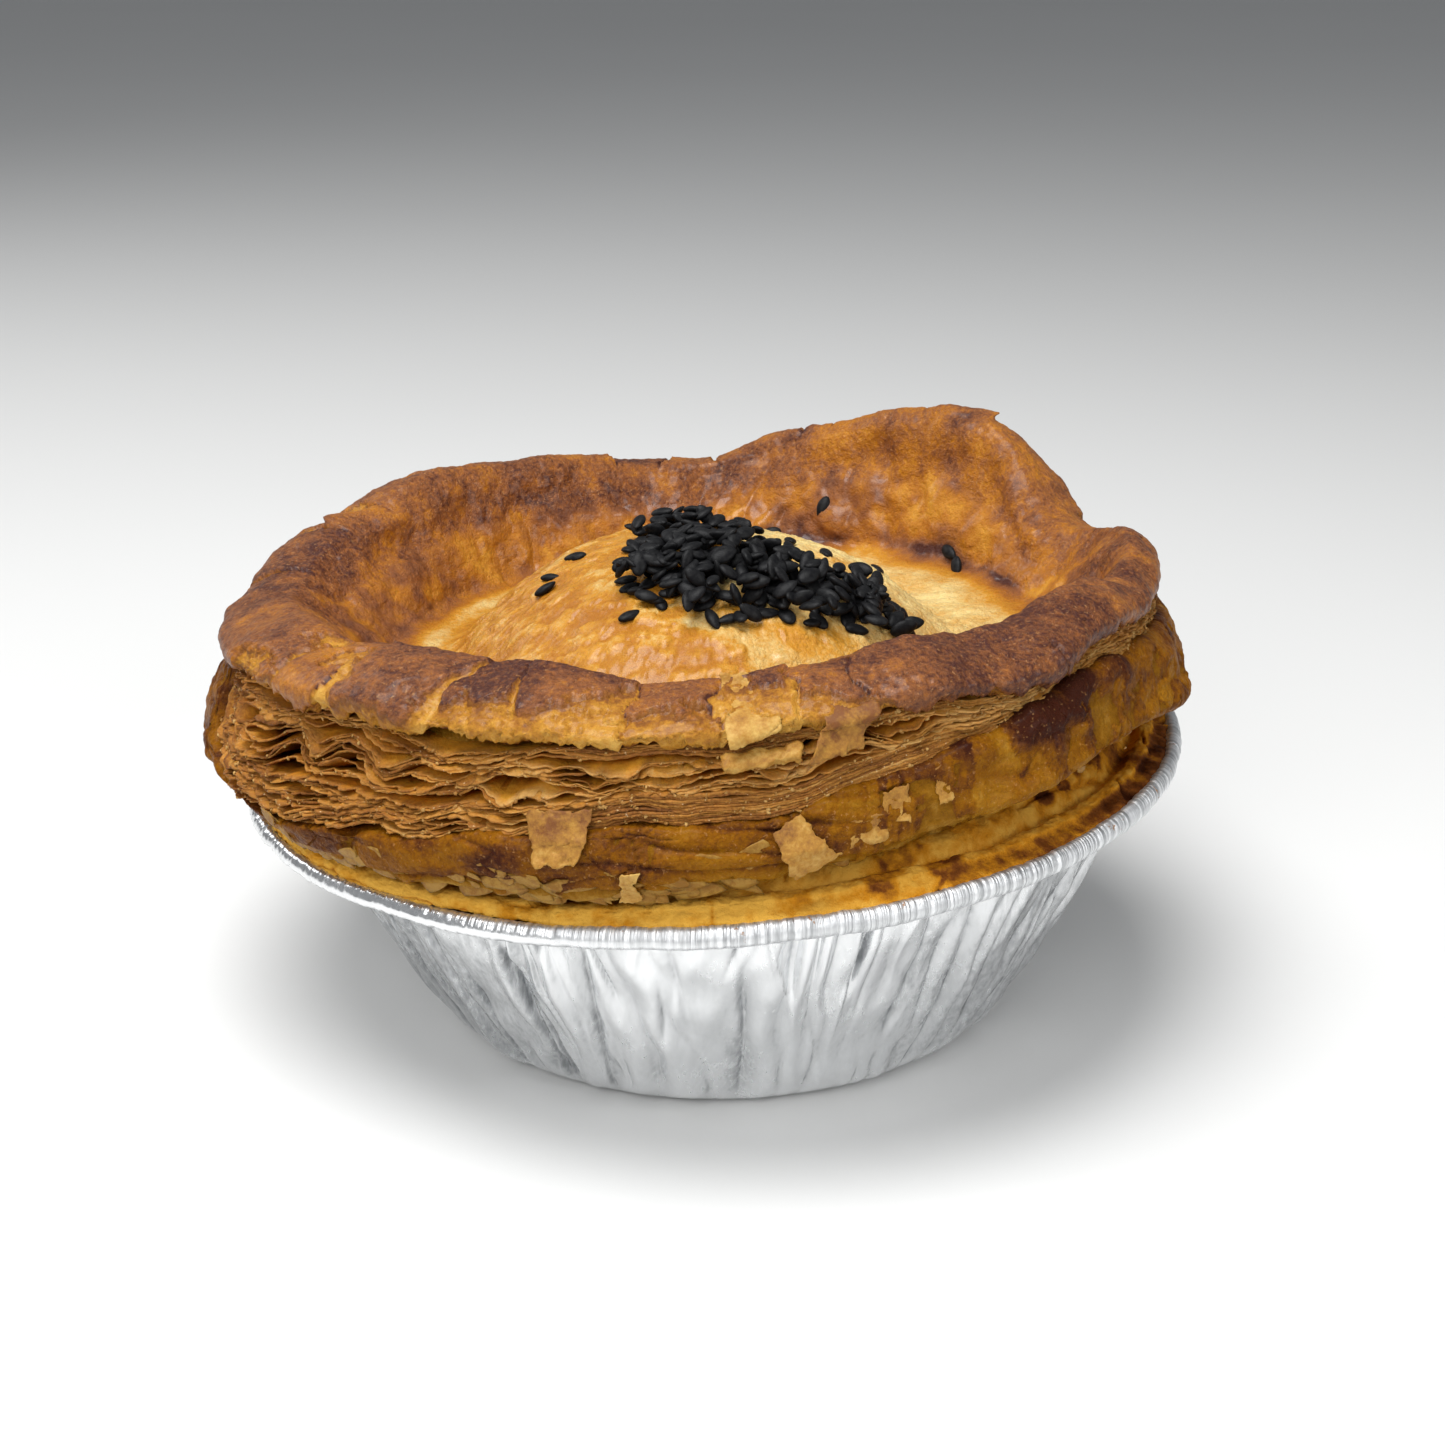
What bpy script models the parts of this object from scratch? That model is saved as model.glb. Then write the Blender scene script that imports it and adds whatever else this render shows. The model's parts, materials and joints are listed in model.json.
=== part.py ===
"""A bakery pie of cauliflower cheese: a puff pastry lid with a raised, folded rim round a domed middle,
strewn with black sesame, on a short pastry base that fills its own foil tin.

Metres, +Z up, the origin under the middle of the tin's floor. The pie's front is -Y and its right is +X.
Each of the three pieces is a closed skin, moulded from a UV sphere: a piece has a profile, which runs from
the middle of its underside out and up to the middle of its top, and the profile changes with the angle.
"""

import functools
import math
import random

import bmesh
import bpy
from mathutils import Matrix, Vector, noise

MM = 0.001

# The tin
TIN_HEIGHT = 34.3 * MM
TIN_RIM_RADIUS = 60.0 * MM
TIN_FLOOR_RADIUS = 36.4 * MM
TIN_CORNER = 2.6 * MM
TIN_WALL_TOP_RADIUS = 54.6 * MM
TIN_CURL_HEIGHT = 2.7 * MM
TIN_BULGE = 0.82
FOIL = 0.4 * MM
TIN_PLEATS = 34
PLEAT_DEPTH = 0.45 * MM
TIN_SIDES = 2 * TIN_PLEATS

# The tin is bent a little by its pie, so the rim and all above it lean up to the right
LEAN = 0.062

# The short pastry base
GAP = 0.35 * MM
BASE_RADIUS = 55.6 * MM
BASE_HEIGHT = 37.4 * MM
BASE_SIDES = 46

# The puff pastry lid: plan of its widest ring
LID_SIDES = 64
LID_CENTRE = Vector((-2.5 * MM, -0.6 * MM))
LID_HALF_WIDTH = 62.6 * MM
LID_HALF_DEPTH = 58.4 * MM
LID_UNDERSIDE = BASE_HEIGHT + GAP
LID_BELLY_HEIGHT = 42.3 * MM
LIP_HEIGHT = 52.2 * MM
CREST_HEIGHT = 58.2 * MM
WELL_FLOOR_HEIGHT = 46.5 * MM
WELL_FLOOR_RADIUS = 41.0 * MM
LEAF_COUNT = 5
LEAF_OVERHANG = 1.5 * MM

# The middle of the lid, which the filling has pushed up
DOME_CENTRE = Vector((-5.0 * MM, -5.0 * MM))
DOME_RISE = 14.2 * MM
DOME_LEFT_RADIUS = 28.2 * MM
DOME_RIGHT_RADIUS = 35.0 * MM
DOME_BACK_RADIUS = 35.0 * MM
DOME_FRONT_RADIUS = 36.5 * MM
DOME_FULLNESS = 2.5

# Black sesame
SEED_LENGTH = 3.3 * MM
SEED_WIDTH = 2.0 * MM
SEED_THICKNESS = 1.15 * MM
HEAP_SEED_COUNT = 98
RANDOM_SEED = 11


class Swell:
    """A rise or fall of a size round the pie, strongest at one angle and fading over its spread."""

    def __init__(self, angle, amount, spread):
        self.angle = angle
        self.amount = amount * MM
        self.spread = spread

    def at(self, angle):
        away = (math.degrees(angle) - self.angle + 180.0) % 360.0 - 180.0
        return self.amount * math.exp(-((away / self.spread) ** 2))


# Angles in degrees from the right, anticlockwise from above, so that -90 is the front
CREST_RISES = [
    Swell(55, 5.4, 23),
    Swell(40, 3.2, 12),
    Swell(18, -6.2, 13),
    Swell(-13, -1.4, 14),
    Swell(-60, 2.6, 11),
    Swell(-125, 1.2, 18),
    Swell(178, -2.6, 16),
    Swell(142, 3.4, 22),
    Swell(90, -1.2, 16),
]
CREST_SPREADS = [
    Swell(0, 4.2, 26),
    Swell(180, 4.6, 34),
    Swell(90, 1.6, 40),
    Swell(-62, -1.6, 16),
    Swell(20, -2.4, 10),
]
LIP_RISES = [
    Swell(-92, -1.2, 22),
    Swell(-38, 2.4, 26),
    Swell(-145, 1.0, 25),
    Swell(40, 1.8, 30),
]
TIN_DENTS = [Swell(-170, -2.4, 48)]
LIP_INSETS = [Swell(180, 1.6, 45), Swell(-8, 3.0, 40)]
UNDERCUTS = [Swell(-22, 5.6, 42), Swell(182, 4.4, 34), Swell(100, 1.5, 50)]
DRAPES = [Swell(180, 1.4, 40)]


def swelled(swells, angle):
    return sum(swell.at(angle) for swell in swells)


def rough(size, place, *at):
    """Smooth unevenness of the given size, the same on each run."""
    return size * noise.noise(Vector(at) * place)


def rough_round(size, waves, angle, height=0.0):
    """Unevenness that closes on itself round the pie."""
    at = Vector((waves * math.cos(angle), waves * math.sin(angle), height))
    return size * noise.noise(at)


def leaned(x, height):
    """The height of a point once the tin has been bent: the floor stays flat and the rim leans."""
    return height + LEAN * x * min(1.0, height / TIN_HEIGHT)


# ---------------------------------------------------------------- the skins


def mould(name, sides, profile, material):
    """A UV sphere whose rings are moved onto the profile, which gives (radius, height) pairs for an angle."""
    rings = len(profile(0.0)) - 1
    skin = bmesh.new()
    bmesh.ops.create_uvsphere(skin, u_segments=sides, v_segments=rings, radius=1.0)
    for vertex in skin.verts:
        ring = round(rings * (1.0 - math.acos(max(-1.0, min(1.0, vertex.co.z))) / math.pi))
        turn = round(math.atan2(vertex.co.y, vertex.co.x) * sides / math.tau)
        angle = turn * math.tau / sides
        radius, height = profile(angle)[ring]
        x, y = radius * math.cos(angle), radius * math.sin(angle)
        vertex.co = (x, y, leaned(x, height))
    bmesh.ops.triangulate(skin, faces=skin.faces[:])
    bmesh.ops.recalc_face_normals(skin, faces=skin.faces[:])
    mesh = bpy.data.meshes.new(name)
    skin.to_mesh(mesh)
    skin.free()
    mesh.materials.append(material)
    made = bpy.data.objects.new(name, mesh)
    PIE.objects.link(made)
    return made


# ---------------------------------------------------------------- the tin


def tin_wall_radius(height, angle):
    """The foil wall's outer face, before its pleats."""
    share = max(0.0, height) / (TIN_HEIGHT - TIN_CURL_HEIGHT)
    foot = TIN_FLOOR_RADIUS + 0.5 * TIN_CORNER
    return foot + (TIN_WALL_TOP_RADIUS - foot) * share**TIN_BULGE + swelled(TIN_DENTS, angle)


def pleat(angle, height):
    """How far the foil stands out in its pleats. They are as uneven as hand-pressed foil's."""
    turn = round(angle * TIN_SIDES / math.tau)
    side = 1.0 if turn % 2 else -1.0
    depth = PLEAT_DEPTH * (1.0 + rough_round(0.9, 7.0, angle, 40.0 * height))
    fade = min(1.0, height / (4.0 * TIN_CORNER)) * min(1.0, (TIN_HEIGHT - height) / TIN_CURL_HEIGHT)
    return side * depth * max(0.0, fade)


@functools.cache
def tin_profile(angle):
    wall_rise = TIN_HEIGHT - TIN_CURL_HEIGHT - TIN_CORNER
    wall_heights = [TIN_CORNER + wall_rise * share for share in (0.0, 0.3, 0.65, 1.0)]
    outside = [(tin_wall_radius(h, angle) + pleat(angle, h), h) for h in wall_heights]
    inside = [(radius - FOIL, height) for radius, height in reversed(outside)]
    inside = [(radius, max(height, 2.0 * FOIL)) for radius, height in inside]
    curl_top = TIN_HEIGHT + rough_round(0.25 * MM, 4.0, angle)
    curl_foot = TIN_HEIGHT - TIN_CURL_HEIGHT
    wall_top = tin_wall_radius(curl_foot, angle)
    rim = [
        (TIN_RIM_RADIUS - 1.6 * MM, curl_foot - 0.1 * MM),
        (TIN_RIM_RADIUS - 0.4 * MM, curl_foot),
        (TIN_RIM_RADIUS, curl_foot + 0.8 * MM),
        (TIN_RIM_RADIUS - 0.2 * MM, curl_top - 0.6 * MM),
        (TIN_RIM_RADIUS - 1.1 * MM, curl_top),
        (TIN_RIM_RADIUS - 2.4 * MM, curl_top - 0.5 * MM),
        (TIN_RIM_RADIUS - 3.0 * MM, curl_foot + 1.8 * FOIL),
        (wall_top - FOIL, curl_foot + FOIL),
    ]
    floor_edge = TIN_FLOOR_RADIUS + swelled(TIN_DENTS, angle)
    under = [(0.0, 0.0), (floor_edge, 0.0)]
    floor = [(floor_edge, FOIL), (0.0, FOIL)]
    return under + outside + rim + inside + floor


# ---------------------------------------------------------------- the base


@functools.cache
def base_profile(angle):
    wall_foot = 3.0 * FOIL
    wall_heights = [wall_foot + 2.6 * MM, 12.0 * MM, 22.0 * MM, TIN_HEIGHT - TIN_CURL_HEIGHT]
    inset = 1.9 * PLEAT_DEPTH + FOIL + GAP
    wall = [(tin_wall_radius(h, angle) - inset, h) for h in wall_heights]
    ledge = UNDERCUTS[0].at(angle) / UNDERCUTS[0].amount
    rim_height = TIN_HEIGHT + (1.7 - 0.7 * ledge) * MM + rough_round(0.35 * MM, 6.0, angle)
    rim = BASE_RADIUS - swelled(DRAPES, angle) * 0.2
    return [
        (0.0, FOIL + GAP),
        (TIN_FLOOR_RADIUS - 0.8 * MM + swelled(TIN_DENTS, angle), FOIL + GAP),
        *wall,
        (rim - 0.3 * MM, TIN_HEIGHT - 1.2 * MM),
        (rim, rim_height - 1.1 * MM),
        (rim - 1.1 * MM, rim_height),
        (rim - 3.2 * MM, rim_height - 0.25 * MM * ledge),
        (rim - 4.6 * MM, BASE_HEIGHT - (0.9 * ledge + 0.2) * MM),
        (rim - 8.0 * MM, BASE_HEIGHT),
        (0.0, BASE_HEIGHT),
    ]


# ---------------------------------------------------------------- the lid


@functools.cache
def belly_radius(angle):
    """The lid's widest ring: an ellipse off the tin's middle, with the lumps of risen dough."""
    cos, sin = math.cos(angle), math.sin(angle)
    ellipse = 1.0 / math.hypot(cos / LID_HALF_WIDTH, sin / LID_HALF_DEPTH)
    return LID_CENTRE.x * cos + LID_CENTRE.y * sin + ellipse + rough_round(0.9 * MM, 2.2, angle)


def crest_radius(angle):
    return 47.8 * MM + swelled(CREST_SPREADS, angle) + rough_round(0.8 * MM, 3.0, angle, 5.0)


def crest_height(angle):
    return CREST_HEIGHT + swelled(CREST_RISES, angle) + rough_round(0.7 * MM, 3.5, angle, 9.0)


def lip_radius(angle):
    return belly_radius(angle) - 3.2 * MM - swelled(LIP_INSETS, angle)


def lip_height(angle):
    return LIP_HEIGHT + swelled(LIP_RISES, angle) + rough_round(0.9 * MM, 5.0, angle, 3.0)


def dome_height(x, y):
    """Height of the well's middle: a broad dome, steep at its left and front foot."""
    right, back = x - DOME_CENTRE.x, y - DOME_CENTRE.y
    across = DOME_RIGHT_RADIUS if right > 0.0 else DOME_LEFT_RADIUS
    deep = DOME_BACK_RADIUS if back > 0.0 else DOME_FRONT_RADIUS
    share = min(1.0, math.hypot(right / across, back / deep))
    wrinkle = rough(0.5 * MM, 220.0, x, 0.6 * y, 0.0) * (1.0 - share)
    return WELL_FLOOR_HEIGHT + DOME_RISE * (1.0 - share**DOME_FULLNESS) + wrinkle


def leaf_edges(angle):
    """Flaky side: the edges of the risen leaves, from the belly up to the lip, with slots between them."""
    foot, head = LID_BELLY_HEIGHT + 1.2 * MM, lip_height(angle) - 0.6 * MM
    spans = [math.exp(rough_round(1.5, 3.0, angle, 7.0 * leaf)) for leaf in range(LEAF_COUNT)]
    wide, narrow = belly_radius(angle), lip_radius(angle) + 0.4 * MM
    edges, height = [], foot
    for leaf, span in enumerate(spans):
        tall = (head - foot) * span / sum(spans)
        share = (height - foot) / (head - foot)
        stands = rough_round(0.9 * MM, 9.0, angle, 3.0 * leaf)
        outer = wide + (narrow - wide) * share + 0.3 * MM + stands
        slot = outer - LEAF_OVERHANG * (0.5 + 0.25 * span)
        edges += [
            (outer - 0.4 * MM, height),
            (outer, height + 0.25 * tall),
            (slot, height + 0.55 * tall),
            (slot, height + 0.9 * tall),
        ]
        height += tall
    return edges


@functools.cache
def lid_profile(angle):
    belly, lip, crest = belly_radius(angle), lip_radius(angle), crest_radius(angle)
    undercut = 1.4 * MM + swelled(UNDERCUTS, angle)
    drape = swelled(DRAPES, angle)
    hem_height = LID_UNDERSIDE - drape + 0.4 * MM
    hem = belly - undercut
    flat = min(hem - 1.6 * MM, BASE_RADIUS + 1.2 * MM)
    underside = [(0.0, LID_UNDERSIDE), (flat, LID_UNDERSIDE), (hem, hem_height)]
    lower = [
        (belly - 0.42 * undercut, hem_height + 0.35 * (LID_BELLY_HEIGHT - hem_height)),
        (belly, LID_BELLY_HEIGHT - 0.8 * MM),
    ]
    foot, top = lip_height(angle), crest_height(angle)
    roll = [
        (lip - 1.6 * MM, foot + 0.5 * MM),
        (lip, foot),
        (lip + 0.7 * MM, foot + 0.35 * (top - foot)),
        (lip - 0.3 * (lip - crest), foot + 0.78 * (top - foot)),
        (crest + 0.2 * (lip - crest), top - 0.2 * MM),
        (crest - 1.3 * MM, top - 0.5 * MM),
    ]
    floor = WELL_FLOOR_RADIUS + rough_round(1.2 * MM, 2.5, angle, 8.0)
    blister = rough_round(0.9 * MM, 6.0, angle, 2.0)
    wall = [
        (floor + 0.62 * (crest - floor) + blister, WELL_FLOOR_HEIGHT + 0.66 * (top - WELL_FLOOR_HEIGHT)),
        (floor + 0.22 * (crest - floor) - blister, WELL_FLOOR_HEIGHT + 0.26 * (top - WELL_FLOOR_HEIGHT)),
    ]
    dome = []
    for share in (1.0, 0.9, 0.78, 0.62, 0.42, 0.2, 0.0):
        radius = floor * share
        height = dome_height(radius * math.cos(angle), radius * math.sin(angle))
        dome.append((radius, height))
    return underside + lower + leaf_edges(angle) + roll + wall + dome


# ---------------------------------------------------------------- flakes and seeds


def flake(name, angle, height, width, length, lift, fold):
    """A thin leaf of pastry rooted in the lid's side: it stands off by lift at its tip and folds along its
    middle. length is along the slope, upwards where positive."""
    leaf = bmesh.new()
    bmesh.ops.create_grid(leaf, x_segments=3, y_segments=3, size=0.5)
    for vertex in leaf.verts:
        across, along = vertex.co.x, vertex.co.y + 0.5
        taper = 1.0 - 0.55 * along + rough(0.3, 2.0, across, along, angle)
        out = lift * along**1.4 + fold * (1.0 - 4.0 * across * across) * along
        vertex.co = (across * width * taper, along * length, out)
    upright = Matrix(((0, 0, 1), (1, 0, 0), (0, 1, 0))).to_4x4()
    root = Vector((flake_root(angle, height), 0.0, height))
    leaf.transform(Matrix.Rotation(angle, 4, "Z") @ Matrix.Translation(root) @ upright)
    for vertex in leaf.verts:
        vertex.co.z = leaned(vertex.co.x, vertex.co.z)
    mesh = bpy.data.meshes.new(name)
    leaf.to_mesh(mesh)
    leaf.free()
    made = bpy.data.objects.new(name, mesh)
    TOPPING.objects.link(made)
    thick = made.modifiers.new("thickness", "SOLIDIFY")
    thick.thickness = 0.5 * MM
    thick.offset = 0.0
    return made


def flake_root(angle, height):
    """Radius just inside the lid's side at this height."""
    inside = 0.9 * MM
    if height > lip_height(angle):
        rolled = (height - lip_height(angle)) / (crest_height(angle) - lip_height(angle))
        return lip_radius(angle) - rolled**2 * (lip_radius(angle) - crest_radius(angle)) - inside
    return belly_radius(angle) - inside


def make_flakes():
    """The leaves that stand well clear of the side: angle, height, width, length, lift, fold."""
    leaves = [
        (43, 62.4, 9.0, 2.0, 3.0, 0.3),
        (157, 58.6, 8.0, 1.6, 4.6, 0.3),
        (-109, 45.4, 5.2, -5.6, 1.4, 0.3),
        (-79, 43.4, 6.0, -5.0, 1.7, 0.6),
        (-73, 55.4, 6.4, -6.0, 1.6, 0.4),
        (-150, 46.5, 5.0, -3.2, 1.3, 0.3),
        (120, 44.0, 6.0, -4.4, 1.5, 0.4),
        (75, 46.0, 5.0, -4.0, 1.5, 0.4),
        (20, 43.0, 5.5, -3.6, 1.3, 0.3),
    ]
    for number, (angle, height, *sizes) in enumerate(leaves):
        sizes = [size * MM for size in sizes]
        flake(f"leaf_{number}", math.radians(angle), height * MM, *sizes)


# The heap of seeds: middle, half length, half width and turn of each of its drifts, and how many share it
DRIFTS = [
    (Vector((-4.0, -2.0)), 8.8, 6.5, 105, 0.28),
    (Vector((0.5, -15.0)), 9.5, 8.0, 0, 0.34),
    (Vector((10.5, -15.5)), 8.0, 7.0, 0, 0.26),
    (Vector((19.0, -13.8)), 5.5, 3.8, 12, 0.12),
]
# Seeds that lie apart from the heap
STRAY_SEEDS = [
    Vector(place)
    for place in (
        (-17.1, -6.0),
        (-19.7, -10.7),
        (-19.5, -13.9),
        (-10.0, -18.9),
        (-9.6, -23.5),
        (3.5, 3.0),
        (21.0, 3.5),
        (9.8, -0.9),
        (17.7, -22.0),
        (21.8, -18.5),
        (30.5, 17.0),
        (14.2, -2.4),
    )
]


def seed_places(chance):
    """Middle of each seed in plan, the heap's first."""
    places = []
    for middle, half_length, half_width, turn, share in DRIFTS:
        for _ in range(round(HEAP_SEED_COUNT * share)):
            reach = chance.random() ** 0.6
            way = chance.uniform(0.0, math.tau)
            spot = Vector((half_length * reach * math.cos(way), half_width * reach * math.sin(way)))
            spot.rotate(Matrix.Rotation(math.radians(turn), 2))
            places.append((middle + spot) * MM)
    chance.shuffle(places)
    return places + [place * MM for place in STRAY_SEEDS]


def make_seeds():
    """Each seed is a flattened drop that lies on the dome, or on the seeds that fell before it."""
    chance = random.Random(RANDOM_SEED)
    laid = []
    for number, place in enumerate(seed_places(chance)):
        ground = leaned(place.x, dome_height(place.x, place.y)) + 0.22 * SEED_THICKNESS
        rest = ground
        for other in laid:
            apart = (other.xy - place).length / (0.62 * SEED_LENGTH)
            if apart < 1.0:
                rest = max(rest, other.z + 0.62 * SEED_THICKNESS * (1.0 - apart * apart))
        rest = min(rest, ground + 3.0 * SEED_THICKNESS)
        laid.append(Vector((place.x, place.y, rest)))
        slope = dome_normal(place.x, place.y).to_track_quat("Z", "Y").to_matrix().to_4x4()
        heaped = min(1.0, (rest - ground) / SEED_THICKNESS)
        tip = Matrix.Rotation(chance.uniform(-0.15 - 0.6 * heaped, 0.15 + 0.6 * heaped), 4, "Y")
        turn = Matrix.Rotation(chance.uniform(0.0, math.tau), 4, "Z")
        size = chance.uniform(0.88, 1.1)
        drop_seed(number, Matrix.Translation(laid[-1]) @ slope @ turn @ tip @ Matrix.Scale(size, 4))


def dome_normal(x, y):
    step = 1.0 * MM
    rise_x = dome_height(x + step, y) - dome_height(x - step, y)
    rise_y = dome_height(x, y + step) - dome_height(x, y - step)
    return Vector((-rise_x, -rise_y, 2.0 * step)).normalized()


def drop_seed(number, placed):
    seed = bmesh.new()
    bmesh.ops.create_icosphere(seed, subdivisions=1, radius=0.5)
    for vertex in seed.verts:
        narrow = 1.0 - 0.45 * max(0.0, vertex.co.x) / 0.5
        vertex.co = (
            vertex.co.x * SEED_LENGTH,
            vertex.co.y * SEED_WIDTH * narrow,
            vertex.co.z * SEED_THICKNESS * narrow,
        )
    seed.transform(placed)
    mesh = bpy.data.meshes.new("seed")
    seed.to_mesh(mesh)
    seed.free()
    TOPPING.objects.link(bpy.data.objects.new(f"seed_{number}", mesh))


def fuse_topping(lid):
    """Joins the flakes and seeds to the lid, and drops what the union leaves loose or sealed inside. Where
    heaped seeds touch at their corners the EXACT solver leaves open edges, and MANIFOLD leaves none."""
    union = lid.modifiers.new("topping", "BOOLEAN")
    union.operation = "UNION"
    union.operand_type = "COLLECTION"
    union.collection = TOPPING
    union.solver = "MANIFOLD"
    graph = bpy.context.evaluated_depsgraph_get()
    fused = bpy.data.meshes.new_from_object(lid.evaluated_get(graph))
    lid.modifiers.clear()
    lid.data = fused
    for piece in list(TOPPING.objects):
        bpy.data.objects.remove(piece)
    bpy.data.collections.remove(TOPPING)
    skin = bmesh.new()
    skin.from_mesh(fused)
    bmesh.ops.remove_doubles(skin, verts=skin.verts[:], dist=0.002 * MM)
    bmesh.ops.triangulate(skin, faces=skin.faces[:])
    scraps = sorted(shells(skin), key=len)[:-1]
    bmesh.ops.delete(skin, geom=[vertex for scrap in scraps for vertex in scrap], context="VERTS")
    skin.to_mesh(fused)
    skin.free()


def shells(skin):
    """The groups of vertices that edges join."""
    left, found = set(skin.verts), []
    while left:
        group, front = set(), [left.pop()]
        while front:
            vertex = front.pop()
            group.add(vertex)
            for edge in vertex.link_edges:
                other = edge.other_vert(vertex)
                if other in left:
                    left.remove(other)
                    front.append(other)
        found.append(group)
    return found


# ---------------------------------------------------------------- materials and assembly


def finish(name, colour, roughness, metallic=0.0):
    material = bpy.data.materials.new(name)
    material.use_nodes = True
    shader = material.node_tree.nodes["Principled BSDF"]
    shader.inputs["Base Color"].default_value = (*colour, 1.0)
    shader.inputs["Roughness"].default_value = roughness
    shader.inputs["Metallic"].default_value = metallic
    return material


def clear_scene():
    for existing in list(bpy.data.objects):
        bpy.data.objects.remove(existing)


def collection(name):
    made = bpy.data.collections.new(name)
    bpy.context.scene.collection.children.link(made)
    return made


clear_scene()
PIE = collection("cauliflower_cheese_pie")
TOPPING = collection("flakes_and_seeds")

mould("foil_tin", TIN_SIDES, tin_profile, finish("foil", (0.80, 0.81, 0.82), 0.25, 1.0))
mould("pastry_base", BASE_SIDES, base_profile, finish("short_pastry", (0.62, 0.36, 0.13), 0.6))
puff_lid = mould("puff_lid", LID_SIDES, lid_profile, finish("puff_pastry", (0.50, 0.22, 0.06), 0.45))
make_flakes()
make_seeds()
fuse_topping(puff_lid)
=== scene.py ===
"""The looks of a cauliflower cheese pie: crumpled foil, short pastry, flaky puff pastry and black sesame.

It is laid out as a Blender add-on and run as a script. Each operator makes one piece, or a group of like
pieces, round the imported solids. Lengths are in metres, +Z is up, the pie's front is -Y and its right is +X.
"""

import json
import math

import bmesh
import bpy
import numpy as np
from bpy.props import FloatProperty, FloatVectorProperty, IntProperty, PointerProperty
from mathutils import Matrix, Vector, noise

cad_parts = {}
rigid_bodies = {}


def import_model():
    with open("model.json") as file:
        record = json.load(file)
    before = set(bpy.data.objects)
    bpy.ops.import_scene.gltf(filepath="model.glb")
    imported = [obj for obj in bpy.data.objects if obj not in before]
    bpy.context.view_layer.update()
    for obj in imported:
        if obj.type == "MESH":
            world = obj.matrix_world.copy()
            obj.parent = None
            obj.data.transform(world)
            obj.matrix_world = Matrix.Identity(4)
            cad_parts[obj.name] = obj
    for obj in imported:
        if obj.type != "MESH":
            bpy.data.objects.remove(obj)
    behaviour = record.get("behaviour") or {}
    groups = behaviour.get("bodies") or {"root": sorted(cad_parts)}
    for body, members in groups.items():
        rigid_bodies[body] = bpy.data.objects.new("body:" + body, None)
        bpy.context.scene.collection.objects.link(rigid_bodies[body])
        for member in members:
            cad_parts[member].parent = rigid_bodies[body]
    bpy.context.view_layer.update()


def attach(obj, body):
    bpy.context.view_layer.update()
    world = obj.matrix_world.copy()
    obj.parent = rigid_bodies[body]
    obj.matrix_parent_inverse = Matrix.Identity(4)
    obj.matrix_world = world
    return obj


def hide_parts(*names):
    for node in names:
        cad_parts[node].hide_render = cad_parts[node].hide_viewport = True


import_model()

bl_info = {
    "name": "Cauliflower cheese pie",
    "version": (1, 0, 0),
    "blender": (4, 5, 0),
    "location": "3D View > Sidebar > Pie",
    "description": "Makes the foil, pastry and seeds of a cauliflower cheese pie",
    "category": "Add Mesh",
}

MM = 0.001

# The pie's sizes, as in the source of its solids
TIN_HEIGHT = 34.3 * MM
TIN_RIM_RADIUS = 60.0 * MM
TIN_FLOOR_RADIUS = 36.4 * MM
TIN_CORNER = 2.6 * MM
TIN_WALL_TOP_RADIUS = 54.6 * MM
TIN_CURL_HEIGHT = 2.7 * MM
TIN_CURL_FOOT = TIN_HEIGHT - TIN_CURL_HEIGHT
TIN_WALL_FOOT = TIN_FLOOR_RADIUS + 0.5 * TIN_CORNER
TIN_WALL_REACH = TIN_WALL_TOP_RADIUS - TIN_FLOOR_RADIUS - 0.5 * TIN_CORNER
TIN_BULGE = 0.82
LEAN = 0.062
BASE_RADIUS = 55.6 * MM
BASE_HEIGHT = 37.4 * MM
LID_CENTRE = (-2.5 * MM, -0.6 * MM)
LID_HALF_WIDTH = 62.6 * MM
LID_HALF_DEPTH = 58.4 * MM
LID_UNDERSIDE = 37.75 * MM
LID_BELLY_HEIGHT = 42.3 * MM
HEM_UNDERCUT = 1.4 * MM
HEM_GAP = 0.4 * MM
LIP_INSET = 3.2 * MM
LIP_HEIGHT = 54.4 * MM
LIP_BELOW_CREST = 3.6 * MM
CREST_RADIUS = 47.8 * MM
CREST_HEIGHT = 58.2 * MM
WELL_FLOOR_HEIGHT = 46.5 * MM
WELL_FLOOR_RADIUS = 41.0 * MM
DOME_CENTRE = (-5.0 * MM, -5.0 * MM)
DOME_RISE = 14.2 * MM
DOME_SIDES = (28.2 * MM, 35.0 * MM)
DOME_ENDS = (36.5 * MM, 35.0 * MM)
DOME_FULLNESS = 2.5
# The top of the lid's core, and the underside of the well, which is sunk into it
CORE_TOP = 45.0 * MM
WELL_UNDERSIDE = 44.2 * MM


# ---------------------------------------------------------------- sizes and colours a user would change


def length(name, description, default):
    return FloatProperty(name=name, description=description, default=default, unit="LENGTH", precision=5)


def colour(name, description, default):
    return FloatVectorProperty(
        name=name, description=description, default=default, subtype="COLOR", size=3, min=0.0, max=1.0
    )


class PieSizes(bpy.types.PropertyGroup):
    """Sizes of the foil, the leaves, the seeds and the crumbs."""

    pleat_depth: length("Pleat depth", "How far the foil stands out in its pleats", 1.0 * MM)
    leaf_count: IntProperty(name="Leaves", description="Leaves in the flaky side", default=30, min=8, max=32)
    leaf_thickness: length("Leaf thickness", "Thickest that one leaf of the side is", 0.20 * MM)
    skin_thickness: length("Skin thickness", "Step from the roll's skin down to the leaf", 0.58 * MM)
    seed_length: length("Seed length", "Length of a sesame seed", 3.2 * MM)
    seed_width: length("Seed width", "Width of a sesame seed", 1.8 * MM)
    seed_thickness: length("Seed thickness", "Thickness of a sesame seed", 1.05 * MM)
    crumb_size: length("Crumb size", "Width of the largest crumb", 0.8 * MM)


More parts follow.
